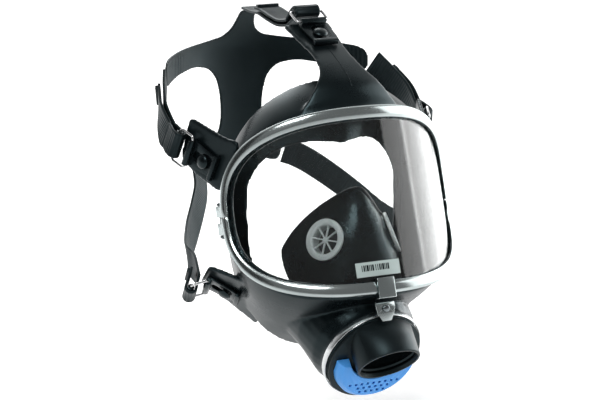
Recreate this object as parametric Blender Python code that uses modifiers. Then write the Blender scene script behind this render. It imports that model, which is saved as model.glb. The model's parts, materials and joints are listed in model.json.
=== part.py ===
"""Full face respirator: rubber facepiece, panoramic visor in a two-part metal frame, orinasal inner mask,
threaded connector with its valves, and a five-point rubber head harness on button buckles.

All sizes below are in millimetres; MM turns them into metres.
+X is the wearer's left, the visor faces -Y and +Z is up. The origin is the middle of the face seal's
opening, 60 mm behind the visor's front.
"""

from math import cos, pi, radians, sin, sqrt

import bmesh
import bpy
from mathutils import Matrix, Vector

MM = 0.001
GAP = 0.3

# Visor: part of a cylinder that leans forward at the bottom, inside a superellipse outline.
VISOR_RADIUS = 93.6
VISOR_HALF_ANGLE = radians(63.9)
VISOR_LEAN = radians(18.0)
VISOR_FRONT_Y = -60.0
VISOR_RISE = 61.7
VISOR_DROP = 59.0
TOP_SQUARENESS = 2.64
BOTTOM_SQUARENESS = 2.40
LENS_THICKNESS = 2.5
OUTLINE_POINTS = 48

# Facepiece: rubber shell from the visor's groove back to the face seal.
WALL = 2.8
LIP_INSET = -5.6
NECK_OUT = 0.6
BEAD_OUT = 3.1
SHELL_OUT = 5.4
SEAL_HALF_WIDTH = 71.0
SEAL_TOP = 78.0
SEAL_BOTTOM = -116.0
LUG_THICKNESS = 3.0

# Connector: clamp ring plane and threaded port.
RING_CENTRE = Vector((0.0, -63.0, -108.0))
RING_TILT = radians(28.0)
BAND_RADIUS = 36.5
COLLAR_RADIUS = 35.4
HOUSING_RADIUS = 32.3
FLANGE_RADIUS = 34.6
NECK_RADIUS = 29.6
PORT_RIM = Vector((0.0, -85.2, -108.7))
PORT_TILT = radians(51.3)
PORT_RADIUS = 22.4
BORE_RADIUS = 20.5
THREAD_PITCH = 25.4 / 7.0
THREAD_DEPTH = 0.9

# Valves in the housing: distances are from the ring's centre.
INHALE_UP = 12.0
INHALE_RADIUS = 11.0
EXHALE_DOWN = 19.0
EXHALE_RADIUS = 9.3
COVER_RADIUS = 31.2
COVER_LOW = 2.5
COVER_HIGH = 9.5

# Side joints of the visor frame, the clip over its middle, and the label.
LUG_OUT = 6.1
SCREW_RADIUS = 1.2
CLIP_X = -1.5
CLIP_HALF_WIDTH = 6.5
CLIP_TOP = -52.4
CLIP_BOTTOM = -66.4
LABEL_ARCS = [-19.6, -11.4, -3.2, 5.0, 13.2]
LABEL_TOP = -40.6
LABEL_HEIGHT = 10.0

# Orinasal cup and its control valves.
CUP_WALL = 2.0
CUP_HALF_WIDTH = 42.5
CUP_NOSE_TAPER = 0.5
CUP_TOP = 5.0
CUP_BOTTOM = -88.0
CUP_COLLAR = 31.1
CONTROL_TURN = radians(145.0)
CONTROL_SHARE = 0.33
SEAT_RADIUS = 14.6
SEAT_OPENING = 10.2
SEAT_NECK = 11.4
SPOKES = 8

# Head harness, wrapped on the head's plan ellipse.
HEAD_CENTRE_Y = 40.0
HEAD_HALF_WIDTH = 98.0
HEAD_HALF_LENGTH = 105.0
HARNESS_THICKNESS = 2.2
STRAP_WIDTH = 19.0
STRAP_THICKNESS = 2.0
ARM_END = 82.0
PLATE_TOP = 109.0
TAIL_GAP = 1.4
TAIL_LENGTHS = {"forehead": 56.0, "temple": 44.0}
JAW_TAIL = [(9.0, 2.9), (15.0, 2.6)]
JAW_LEADS = {"jaw_right": (23.0, 9.0, 1.8), "jaw_left": (28.0, -16.0, -0.6)}

# Button buckles, in their own frame: X towards the strap, Y across, Z out of the lug.
WIRE_LENGTH = 12.5
WIRE_NEAR_X = 13.0
WIRE_HEIGHT = 5.1
WIRE_RADIUS = 0.9
WIRE_HALF_WIDTH = 12.4
BAR_RADIUS = 2.4
CUT_X = 9.0
CUT_GAP = 1.6
STUD_RADIUS = 2.3
STUD_HEAD_RADIUS = 5.2

COLOURS = {
    "rubber_black": ((0.012, 0.016, 0.017), 0.55, 0.0),
    "rubber_harness": ((0.010, 0.013, 0.014), 0.50, 0.0),
    "visor_clear": ((0.92, 0.96, 0.96), 0.04, 0.0),
    "frame_steel": ((0.78, 0.79, 0.80), 0.18, 1.0),
    "clamp_steel": ((0.72, 0.73, 0.74), 0.25, 1.0),
    "fastener_steel": ((0.60, 0.61, 0.62), 0.30, 1.0),
    "wire_steel": ((0.80, 0.80, 0.80), 0.20, 1.0),
    "housing_black": ((0.018, 0.019, 0.020), 0.38, 0.0),
    "buckle_black": ((0.015, 0.016, 0.017), 0.42, 0.0),
    "valve_grey": ((0.55, 0.57, 0.57), 0.45, 0.0),
    "valve_rubber": ((0.20, 0.21, 0.21), 0.50, 0.0),
    "cover_blue": ((0.055, 0.24, 0.72), 0.40, 0.0),
    "label_silver": ((0.70, 0.72, 0.72), 0.45, 0.0),
}


# ---------------------------------------------------------------- scene helpers

def reset_scene():
    for obj in list(bpy.data.objects):
        bpy.data.objects.remove(obj, do_unlink=True)
    collections = []
    for name in ("full_face_respirator", "cutters"):
        collection = bpy.data.collections.new(name)
        bpy.context.scene.collection.children.link(collection)
        collections.append(collection)
    return collections


PARTS, CUTTERS = reset_scene()


def material(name):
    found = bpy.data.materials.get(name)
    if found:
        return found
    colour, roughness, metallic = COLOURS[name]
    made = bpy.data.materials.new(name)
    made.use_nodes = True
    shader = made.node_tree.nodes["Principled BSDF"]
    shader.inputs["Base Color"].default_value = (*colour, 1.0)
    shader.inputs["Roughness"].default_value = roughness
    shader.inputs["Metallic"].default_value = metallic
    if name == "visor_clear":
        shader.inputs["Transmission Weight"].default_value = 1.0
    return made


def add_object(name, data, finish, matrix=None, smooth=True):
    """Put mesh or curve data in the scene; finish None makes a cutter."""
    obj = bpy.data.objects.new(name, data)
    if matrix is not None:
        obj.matrix_world = matrix
    if finish is None:
        CUTTERS.objects.link(obj)
        obj.hide_render = True
        obj.display_type = "WIRE"
    else:
        PARTS.objects.link(obj)
        data.materials.append(material(finish))
    if obj.type == "MESH" and smooth:
        data.shade_smooth()
        data.set_sharp_from_angle(angle=radians(32))
    return obj


def placement(origin, outward, along):
    """Frame with Z along `outward` and X as near `along` as it can be; the origin is in millimetres."""
    z_axis = Vector(outward).normalized()
    x_axis = Vector(along) - z_axis * z_axis.dot(Vector(along))
    x_axis.normalize()
    y_axis = z_axis.cross(x_axis)
    matrix = Matrix((x_axis, y_axis, z_axis)).transposed().to_4x4()
    matrix.translation = Vector(origin) * MM
    return matrix


def loft(name, rings, finish, matrix=None, closed=False, fan_ends=False):
    """Skin closed rings of equal length; the ends are flat caps, fans to their middle, or joined up."""
    mesh = bpy.data.meshes.new(name)
    bm = bmesh.new()
    loops = [[bm.verts.new(Vector(p) * MM) for p in ring] for ring in rings]
    pairs = list(zip(loops, loops[1:]))
    if closed:
        pairs.append((loops[-1], loops[0]))
    size = len(rings[0])
    for lower, upper in pairs:
        for i in range(size):
            j = (i + 1) % size
            bm.faces.new((lower[i], lower[j], upper[j], upper[i]))
    if fan_ends:
        for loop in (loops[0], loops[-1]):
            middle = sum((v.co for v in loop), Vector()) / size
            tip = bm.verts.new(middle)
            for i in range(size):
                bm.faces.new((loop[i], loop[(i + 1) % size], tip))
    elif not closed:
        bm.faces.new(loops[0])
        bm.faces.new(loops[-1])
    bmesh.ops.triangulate(bm, faces=[f for f in bm.faces if len(f.verts) > 3])
    bmesh.ops.recalc_face_normals(bm, faces=bm.faces)
    bm.to_mesh(mesh)
    bm.free()
    return add_object(name, mesh, finish, matrix)


def sheet(name, rows, finish, thickness, matrix=None, wrap=False, offset=0.0):
    """Open surface through rows of points, given its thickness by Solidify."""
    mesh = bpy.data.meshes.new(name)
    bm = bmesh.new()
    grid = [[bm.verts.new(Vector(p) * MM) for p in row] for row in rows]
    width = len(rows[0])
    for lower, upper in zip(grid, grid[1:]):
        for i in range(width if wrap else width - 1):
            j = (i + 1) % width
            bm.faces.new((lower[i], lower[j], upper[j], upper[i]))
    bm.to_mesh(mesh)
    bm.free()
    obj = add_object(name, mesh, finish, matrix)
    solid = obj.modifiers.new("thickness", "SOLIDIFY")
    solid.thickness = thickness * MM
    solid.offset = offset
    solid.use_even_offset = True
    return obj


def turned(name, profile, finish, matrix=None, steps=48, closed=True):
    """Screw a profile of (radius, height) points that runs down the outer side, top to bottom."""
    mesh = bpy.data.meshes.new(name)
    points = [(r * MM, 0.0, z * MM) for r, z in profile]
    edges = [(i, i + 1) for i in range(len(points) - 1)]
    if closed:
        edges.append((len(points) - 1, 0))
    mesh.from_pydata(points, edges, [])
    obj = add_object(name, mesh, finish, matrix, smooth=False)
    screw = obj.modifiers.new("turn", "SCREW")
    screw.steps = steps
    screw.render_steps = steps
    screw.use_merge_vertices = True
    screw.merge_threshold = 0.00001
    screw.use_smooth_shade = True
    return obj


def ring_profile(inner, outer, low, high):
    return [(outer, high), (outer, low), (inner, low), (inner, high)]


def outline_curve(name, loops, thickness, low, finish, matrix, bevel=0.0):
    """Flat outline (and its holes) in X and Y, extruded from height `low` by `thickness`."""
    curve = bpy.data.curves.new(name, "CURVE")
    curve.dimensions = "2D"
    curve.fill_mode = "BOTH"
    curve.extrude = thickness * MM / 2
    for loop in loops:
        spline = curve.splines.new("POLY")
        spline.points.add(len(loop) - 1)
        spline.use_cyclic_u = True
        for point, (x, y) in zip(spline.points, loop):
            point.co = (x * MM, y * MM, 0.0, 1.0)
    lift = Matrix.Translation((0, 0, (low + thickness / 2) * MM))
    shape = add_object(name + "_outline", curve, finish, matrix @ lift)
    return to_mesh(shape, name, finish)


def to_mesh(shape, name, finish):
    """Replace a curve, or an object with modifiers, by its mesh with welded caps."""
    bpy.context.view_layer.update()
    graph = bpy.context.evaluated_depsgraph_get()
    mesh = bpy.data.meshes.new_from_object(shape.evaluated_get(graph))
    mesh.name = name
    matrix = shape.matrix_world.copy()
    bpy.data.objects.remove(shape, do_unlink=True)
    bm = bmesh.new()
    bm.from_mesh(mesh)
    bmesh.ops.remove_doubles(bm, verts=bm.verts, dist=0.00001)
    bmesh.ops.triangulate(bm, faces=[f for f in bm.faces if len(f.verts) > 4])
    bmesh.ops.recalc_face_normals(bm, faces=bm.faces)
    bm.to_mesh(mesh)
    bm.free()
    mesh.materials.clear()
    return add_object(name, mesh, finish, matrix)


def wire(name, points, radius, finish, matrix=None, cyclic=False):
    """Round wire along a polyline."""
    curve = bpy.data.curves.new(name, "CURVE")
    curve.dimensions = "3D"
    curve.bevel_depth = radius * MM
    curve.bevel_resolution = 2
    curve.use_fill_caps = not cyclic
    spline = curve.splines.new("POLY")
    spline.points.add(len(points) - 1)
    spline.use_cyclic_u = cyclic
    for point, co in zip(spline.points, points):
        point.co = (*(Vector(co) * MM), 1.0)
    return to_mesh(add_object(name + "_path", curve, finish, matrix), name, finish)


def cylinder(name, radius, low, high, finish, matrix, segments=32):
    mesh = bpy.data.meshes.new(name)
    bm = bmesh.new()
    lift = Matrix.Translation((0, 0, (low + high) / 2 * MM))
    bmesh.ops.create_cone(bm, cap_ends=True, segments=segments, radius1=radius * MM, radius2=radius * MM,
                          depth=(high - low) * MM, matrix=lift)
    bm.to_mesh(mesh)
    bm.free()
    return add_object(name, mesh, finish, matrix)


def box(name, low, high, finish, matrix, rounding=0.0):
    mesh = bpy.data.meshes.new(name)
    bm = bmesh.new()
    size = [(b - a) * MM for a, b in zip(low, high)]
    centre = [(a + b) / 2 * MM for a, b in zip(low, high)]
    bmesh.ops.create_cube(bm, size=1.0, matrix=Matrix.Translation(centre) @ Matrix.Diagonal((*size, 1.0)))
    bm.to_mesh(mesh)
    bm.free()
    obj = add_object(name, mesh, finish, matrix)
    if rounding:
        edge = obj.modifiers.new("rounding", "BEVEL")
        edge.width = rounding * MM
        edge.segments = 1
    return obj


def combine(target, other, operation):
    """Boolean modifier on the target; the other object becomes a cutter."""
    if other.name in PARTS.objects:
        PARTS.objects.unlink(other)
        CUTTERS.objects.link(other)
    other.hide_render = True
    other.display_type = "WIRE"
    step = target.modifiers.new(operation.lower(), "BOOLEAN")
    step.operation = operation
    step.object = other
    step.solver = "EXACT"


def mirrored(matrix):
    """The same placement on the other side of the face."""
    flip = Matrix.Diagonal((-1, 1, 1, 1))
    swap = Matrix.Diagonal((1, -1, 1, 1))
    return flip @ matrix @ swap


def arc(centre, radius, start, end, count):
    """Points (x, y) on an arc; the angles are in degrees."""
    angles = [radians(start + (end - start) * i / (count - 1)) for i in range(count)]
    return [(centre[0] + radius * cos(a), centre[1] + radius * sin(a)) for a in angles]


def smooth_path(keys, per_span):
    """Catmull-Rom curve through the key points."""
    points = [Vector(k) for k in keys]
    ends = [points[0] * 2 - points[1]] + points + [points[-1] * 2 - points[-2]]
    path = []
    for a, b, c, d in zip(ends, ends[1:], ends[2:], ends[3:]):
        for i in range(per_span):
            t = i / per_span
            path.append(0.5 * (2 * b + (c - a) * t + (2 * a - 5 * b + 4 * c - d) * t * t
                               + (3 * b - a - 3 * c + d) * t ** 3))
    path.append(points[-1])
    return path


# ---------------------------------------------------------------- visor surface

def visor_point(arc_length, height, proud=0.0):
    """Point on the visor cylinder, `proud` millimetres in front of it."""
    angle = arc_length / VISOR_RADIUS
    radius = VISOR_RADIUS + proud
    depth = VISOR_RADIUS - radius * cos(angle)
    y = VISOR_FRONT_Y + depth * cos(VISOR_LEAN) + height * sin(VISOR_LEAN)
    z = height * cos(VISOR_LEAN) - depth * sin(VISOR_LEAN)
    return Vector((radius * sin(angle), y, z))


def signed_power(value, exponent):
    return abs(value) ** exponent * (1 if value >= 0 else -1)


def outline_samples(count):
    """Evenly spaced (turn, arc length, height, normal) around the visor's outline."""
    fine = 1440
    dense = []
    for i in range(fine + 1):
        turn = 2 * pi * i / fine
        upper = sin(turn) >= 0
        power = 2 / (TOP_SQUARENESS if upper else BOTTOM_SQUARENESS)
        arc_length = VISOR_RADIUS * VISOR_HALF_ANGLE * signed_power(cos(turn), power)
        height = (VISOR_RISE if upper else VISOR_DROP) * signed_power(sin(turn), power)
        dense.append((turn, arc_length, height))
    lengths = [0.0]
    for a, b in zip(dense, dense[1:]):
        lengths.append(lengths[-1] + sqrt((b[1] - a[1]) ** 2 + (b[2] - a[2]) ** 2))
    samples = []
    k = 0
    for i in range(count):
        target = lengths[-1] * i / count
        while lengths[k + 1] <= target:
            k += 1
        share = (target - lengths[k]) / (lengths[k + 1] - lengths[k])
        samples.append([dense[k][n] + share * (dense[k + 1][n] - dense[k][n]) for n in range(3)])
    result = []
    for i, (turn, arc_length, height) in enumerate(samples):
        before = samples[i - 1]
        after = samples[(i + 1) % count]
        tangent = Vector((after[1] - before[1], after[2] - before[2])).normalized()
        result.append((turn, arc_length, height, Vector((tangent.y, -tangent.x))))
    return result


OUTLINE = outline_samples(OUTLINE_POINTS)


def edge_point(index, out, proud):
    """Point near outline sample `index`, `out` millimetres away from the visor's middle."""
    _, arc_length, height, normal = OUTLINE[index % OUTLINE_POINTS]
    return visor_point(arc_length + out * normal.x, height + out * normal.y, proud)


def side_share(index):
    """0 at the middle of the top and bottom, 1 at the sides of the visor."""
    return abs(OUTLINE[index % OUTLINE_POINTS][1]) / (VISOR_RADIUS * VISOR_HALF_ANGLE)


def outline_ring(out, proud, narrowing=0.0):
    """Ring parallel to the outline; `narrowing` moves it outwards towards the visor's sides."""
    return [edge_point(i, out + narrowing * side_share(i) ** 3, proud) for i in range(OUTLINE_POINTS)]


def scaled_ring(share, proud):
    """Outline shrunk towards the visor's middle."""
    return [visor_point(a * share, h * share, proud) for _, a, h, _ in OUTLINE]


def lens(name, out, thickness, finish):
    rings = [scaled_ring(share, 0.0) for share in (0.35, 0.7)]
    rings.append(outline_ring(out, 0.0))
    obj = sheet(name, rings, finish, thickness, wrap=True)
    bm = bmesh.new()
    bm.from_mesh(obj.data)
    centre = bm.verts.new(visor_point(0.0, 0.0) * MM)
    bm.verts.ensure_lookup_table()
    for i in range(OUTLINE_POINTS):
        bm.faces.new((bm.verts[i], centre, bm.verts[(i + 1) % OUTLINE_POINTS]))
    bmesh.ops.recalc_face_normals(bm, faces=bm.faces)
    bm.to_mesh(obj.data)
    bm.free()
    return obj


# ---------------------------------------------------------------- buckle places

RING_OUT = Vector((0, -cos(RING_TILT), -sin(RING_TILT)))
RING_UP = Vector((0, -sin(RING_TILT), cos(RING_TILT)))
RING = placement(RING_CENTRE, RING_OUT, (1, 0, 0))
PORT_OUT = Vector((0, -cos(PORT_TILT), -sin(PORT_TILT)))
PORT = placement(PORT_RIM, PORT_OUT, (1, 0, 0))

TEMPLE = placement((-87.0, 20.2, 22.0), (-0.93, -0.37, 0.03), (-0.36, 0.85, 0.385))
JAW = placement((-72.8, 18.6, -70.9), (-0.665, -0.289, -0.689), (-0.702, 0.557, 0.444))
CROWN = placement((0.0, 17.7, 103.0), (0, -0.42, 0.907), (0, 0.907, 0.42))
BUCKLES = {
    "forehead": CROWN,
    "temple_right": TEMPLE,
    "temple_left": mirrored(TEMPLE),
    "jaw_right": JAW,
    "jaw_left": mirrored(JAW),
}
# How far each wire frame is folded out of its lug, and the way its strap leaves it.
FRAME_FOLDS = {"forehead": 0, "temple_right": 0, "temple_left": 0, "jaw_right": 48, "jaw_left": 0}
STRAP_AWAY = {
    "forehead": Vector((0, 0.88, -0.47)),
    "temple_right": Vector((-0.10, 0.85, 0.50)),
    "temple_left": Vector((0.10, 0.85, 0.50)),
    "jaw_right": Vector((0.50, 0.68, 0.54)),
    "jaw_left": Vector((-0.10, 0.95, 0.25)),
}


# ---------------------------------------------------------------- facepiece

def seal_rim(turn):
    """Outermost line of the face seal, where the shell turns inwards."""
    upper = sin(turn) >= 0
    power = 2 / (2.2 if upper else 2.7)
    x = SEAL_HALF_WIDTH * signed_power(cos(turn), power)
    z = (SEAL_TOP if upper else -SEAL_BOTTOM) * signed_power(sin(turn), power)
    side = abs(x) / SEAL_HALF_WIDTH
    y = (-4.0 if upper else 6.0) + (27.0 if upper else 17.0) * side ** 2
    return Vector((x, y, z))


def seal_lip(turn):
    """Free inner edge of the sealing flange."""
    rim = seal_rim(turn)
    upper = max(0.0, sin(turn))
    lower = max(0.0, -sin(turn))
    width = 12.0 + 32.0 * upper ** 1.2 + 9.0 * lower ** 2
    flat = Vector((rim.x, 0, rim.z))
    inward = -flat.normalized()
    return rim + inward * width + Vector((0, -8.0 - 3.0 * upper, 0))


def shell_ring(share, inset=0.0):
    """Ring part of the way from behind the visor frame (0) to the face seal's rim (1)."""
    ring = []
    for i in range(OUTLINE_POINTS):
        turn = OUTLINE[i][0]
        front = edge_point(i, SHELL_OUT, -4.3)
        rim = seal_rim(turn)
        bulge = 3.5 * max(0.0, sin(turn)) + 7.0 * max(0.0, -sin(turn))
        control = front.lerp(rim, 0.42)
        outward = Vector((control.x, 0, control.z)).normalized()
        control += outward * bulge
        point = front * (1 - share) ** 2 + control * (2 * share * (1 - share)) + rim * share ** 2
        ring.append(point - outward * inset)
    return ring


def facepiece_shell():
    outer = [
        outline_ring(LIP_INSET - 3.0, 2.5),
        outline_ring(BEAD_OUT, 2.5),
        outline_ring(BEAD_OUT, -2.7),
        outline_ring(NECK_OUT, -2.7),
        outline_ring(NECK_OUT, -4.3),
    ]
    outer += [shell_ring(share) for share in (0.0, 0.3, 0.6, 1.0)]
    outer.append([seal_lip(sample[0]) for sample in OUTLINE])
    outer.append([seal_lip(sample[0]) * 0.7 for sample in OUTLINE])
    return loft("facepiece", outer, "rubber_black", fan_ends=True)


def facepiece_hollow():
    lips = [seal_lip(sample[0]) for sample in OUTLINE]
    rings = [
        outline_ring(LIP_INSET, 14.0, 2.6),
        outline_ring(LIP_INSET, -4.6, 2.6),
    ]
    rings += [shell_ring(share, WALL) for share in (0.12, 0.5, 0.92)]
    rings.append([p * 0.985 + Vector((0, -2.2, 0)) for p in lips])
    rings.append([p * 0.985 + Vector((0, 40.0, 0)) for p in lips])
    return loft("facepiece_hollow", rings, None, fan_ends=True)


def circle(centre, across, up, radius_x, radius_up, count=34):
    return [centre + across * (radius_x * cos(2 * pi * i / count)) + up * (radius_up * sin(2 * pi * i / count))
            for i in range(count)]


def chin_cone(name, inset, front, finish):
    """Chin bowl that leads from the cavity to the clamp ring; `front` is where it starts before the ring."""
    across = Vector((1, 0, 0))
    back_up = Vector((0, -0.42, 0.9075))
    radius = COLLAR_RADIUS - inset
    rings = [
        circle(RING_CENTRE + RING_OUT * front, across, RING_UP, radius, radius),
        circle(RING_CENTRE - RING_OUT * 9.0, across, RING_UP, radius, radius),
        circle(RING_CENTRE - RING_OUT * 16.0, across, RING_UP, radius + 3.5, radius + 2.0),
        circle(Vector((0, -34, -91)), across, back_up, 43.0 - inset, 33.0 - inset),
        circle(Vector((0, -16, -86)), across, back_up, 44.0 - 1.6 * inset, 30.0 - 1.6 * inset),
    ]
    return loft(name, rings, finish)


def flap(name, loop, matrix):
    return outline_curve(name, [loop], LUG_THICKNESS, -LUG_THICKNESS, None, matrix)


def rounded(points, radius, segments=3):
    """Round the corners of a closed polygon."""
    result = []
    count = len(points)
    for i, point in enumerate(points):
        here = Vector(point)
        before = (Vector(points[i - 1]) - here)
        after = (Vector(points[(i + 1) % count]) - here)
        reach = min(radius, before.length / 2.2, after.length / 2.2)
        start = here + before.normalized() * reach
        end = here + after.normalized() * reach
        for k in range(segments + 1):
            t = k / segments
            point_2d = start * (1 - t) ** 2 + here * (2 * t * (1 - t)) + end * t ** 2
            result.append((point_2d.x, point_2d.y))
    return result


def side_lugs():
    temple_loop = rounded([(-21, -27), (-7, -23), (26.5, -20.5), (22.5, 10), (6, 14), (-21, 14)], 5.0)
    jaw_loop = rounded([(-28, -36), (-6, -27), (17, -20), (20, 13), (0, 18), (-28, 32)], 5.0)
    lugs = []
    for name, matrix, loop in (("temple", TEMPLE, temple_loop), ("jaw", JAW, jaw_loop)):
        other = [(x, -y) for x, y in reversed(loop)]
        lugs.append(flap(name + "_lug_right", loop, matrix))
        lugs.append(flap(name + "_lug_left", other, mirrored(matrix)))
    return lugs


def forehead_lug():
    """Tongue that grows out of the shell behind the visor frame and rises to the crown buckle."""
    # centre line (y, z), half width, and how far its edges fall back and down
    stations = [
        (-33.0, 64.0, 38.0, 7.0, 7.5), (-31.0, 70.5, 34.0, 5.5, 7.5), (-26.0, 78.0, 25.0, 2.5, 3.5),
        (-14.5, 86.0, 16.5, 0.5, 1.2), (2.3, 94.4, 14.0, 0.0, 0.8), (17.7, 100.9, 15.5, 0.0, 0.8),
        (38.0, 109.6, 17.5, 0.0, 0.8),
    ]
    centre = smooth_path([(0, y, z) for y, z, _, _, _ in stations], 2)
    shape = smooth_path([(half, back, down) for _, _, half, back, down in stations], 2)
    rows = []
    for point, (half, back, down) in zip(centre, shape):
        rows.append([point + Vector((half * t, back * t * t, -down * t * t)) for t in (-1, -0.5, 0, 0.5, 1)])
    return sheet("forehead_lug", rows, None, LUG_THICKNESS)


def build_facepiece():
    face = facepiece_shell()
    combine(face, chin_cone("chin_cone_outer", 0.0, 0.0, None), "UNION")
    for lug in side_lugs() + [forehead_lug()]:
        combine(face, lug, "UNION")
    combine(face, facepiece_hollow(), "DIFFERENCE")
    combine(face, chin_cone("chin_cone_inner", WALL, 5.0, None), "DIFFERENCE")
    combine(face, cup_room(), "DIFFERENCE")
    combine(face, lens("lens_groove", 0.8, LENS_THICKNESS + 2 * GAP, None), "DIFFERENCE")
    for name, matrix in BUCKLES.items():
        hole = cylinder(name + "_stud_hole", STUD_RADIUS + GAP, -14.0, 8.0, None, matrix, segments=12)
        combine(face, hole, "DIFFERENCE")
    return face


# ---------------------------------------------------------------- visor frame

def frame_section(index):
    """Closed C section around the rubber bead, open towards the visor's back."""
    inner = -4.4 + 2.6 * side_share(index) ** 3
    shape = [
        (inner, 2.8), (inner, 3.5), ((inner + 4.4) / 2 - 1.5, 4.5), (2.6, 4.4), (4.2, 3.2), (4.2, -3.9),
        (0.9, -3.9), (0.9, -3.05), (3.4, -3.05), (3.4, 2.8),
    ]
    return [edge_point(index, out, proud) for out, proud in shape]


def side_place(side, along=0.0):
    """Beside the visor's side joint (side is 1 or -1 along X): Z runs up it and X points out of it."""
    index = 0 if side == 1 else OUTLINE_POINTS // 2
    centre = edge_point(index, LUG_OUT, 0.6)
    up = edge_point(index + 1, LUG_OUT, 0.6) - edge_point(index - 1, LUG_OUT, 0.6)
    outward = edge_point(index, 10.0, 0.6) - edge_point(index, 2.0, 0.6)
    return placement(centre, up * side, outward) @ Matrix.Translation((0, 0, along * MM))


def visor_frame(name, first, last, low, high):
    half = loft(name, [frame_section(i) for i in range(first, last + 1)], "frame_steel")
    for side in (1, -1):
        lug = box(f"{name}_lug", (-2.5, -2.3, low), (1.9, 2.3, high), None, side_place(side))
        combine(half, lug, "UNION")
        combine(half, cylinder(f"{name}_bore", SCREW_RADIUS + GAP, low - 2, high + 2, None, side_place(side), 16),
                "DIFFERENCE")
    return half


def build_visor():
    lens("visor_lens", 0.5, LENS_THICKNESS, "visor_clear")
    half = OUTLINE_POINTS // 2
    upper = visor_frame("visor_frame_upper", 0, half, 0.8, 8.4)
    lower = visor_frame("visor_frame_lower", half, 2 * half, -11.6, -3.4)
    trim_joint(upper, 1)
    trim_joint(lower, -1)
    for side, label in ((1, "left"), (-1, "right")):
        place = side_place(side)
        profile = [(0, 10.9), (2.2, 10.3), (2.2, 8.7), (SCREW_RADIUS, 8.7), (SCREW_RADIUS, -14.4), (0, -14.4)]
        turned(f"frame_screw_{label}", profile, "fastener_steel", place, 12, closed=False)
        nut = cylinder(f"frame_nut_{label}", 2.4, -13.8, -11.9, "fastener_steel", place, segments=6)
        combine(nut, cylinder("side_nut_bore", SCREW_RADIUS + GAP, -15, -10, None, place, 12), "DIFFERENCE")
    rows = [[visor_point(arc_length, height, LENS_THICKNESS / 2 + GAP + 0.2) for arc_length in LABEL_ARCS]
            for height in (LABEL_TOP, LABEL_TOP - LABEL_HEIGHT)]
    sheet("visor_label", rows, "label_silver", 0.3)


def trim_joint(half, keep):
    """Cut one frame half clear of the joint plane at both sides of the visor."""
    for side in (1, -1):
        low, high = (-8.0, 0.25) if keep == 1 else (-0.25, 8.0)
        combine(half, box("joint_gap", (-9, -7, low), (1.9, 7, high), None, side_place(side)), "DIFFERENCE")


# ---------------------------------------------------------------- clip, clamp and connector

def build_clip():
    """Steel clip over the lower frame, its bracket on the clamp ring, and the bracket's screw."""
    middle = visor_point(0.0, 0.0)
    out = visor_point(0.0, 0.0, 1.0) - middle
    place = placement(middle + Vector((CLIP_X, 0, 0)), out, (1, 0, 0))
    clip = box("centre_clip", (-CLIP_HALF_WIDTH, CLIP_BOTTOM, 4.9), (CLIP_HALF_WIDTH, CLIP_TOP, 6.3),
               "frame_steel", place, rounding=0.5)
    foot = box("clip_foot", (-CLIP_HALF_WIDTH, CLIP_BOTTOM, -0.8), (CLIP_HALF_WIDTH, CLIP_BOTTOM + 1.3, 6.0),
               None, place)
    hook = box("clip_hook", (-CLIP_HALF_WIDTH, CLIP_TOP - 1.3, 2.9), (CLIP_HALF_WIDTH, CLIP_TOP, 6.0), None, place)
    combine(clip, foot, "UNION")
    combine(clip, hook, "UNION")
    path = [(-80.4, -66.0), (-82.0, -69.0), (-82.6, -73.0), (-84.2, -78.0)]
    rows = [[(CLIP_X + x * w, y, z) for x in (-1, -0.5, 0, 0.5, 1)]
            for (y, z), w in zip(path, (7.2, 7.2, 6.4, 3.4))]
    bracket = sheet("clip_bracket", rows, "frame_steel", 1.3)
    place = placement((CLIP_X, -82.0, -69.6), (0, -1, 0.12), (1, 0, 0))
    combine(bracket, cylinder("bracket_hole", 1.7, -4, 4, None, place, 20), "DIFFERENCE")
    profile = [(0, 2.6), (2.3, 2.3), (2.6, 1.2), (1.3, 1.2), (1.3, -3.0), (0, -3.0)]
    turned("clip_screw", profile, "fastener_steel", place, 24, closed=False)


def build_clamp():
    """Clamp band around the rubber collar."""
    low, high = -5.6, -0.8
    band = turned("clamp_band", ring_profile(COLLAR_RADIUS + GAP, BAND_RADIUS, low, high), "clamp_steel", RING, 40)
    return band


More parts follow.
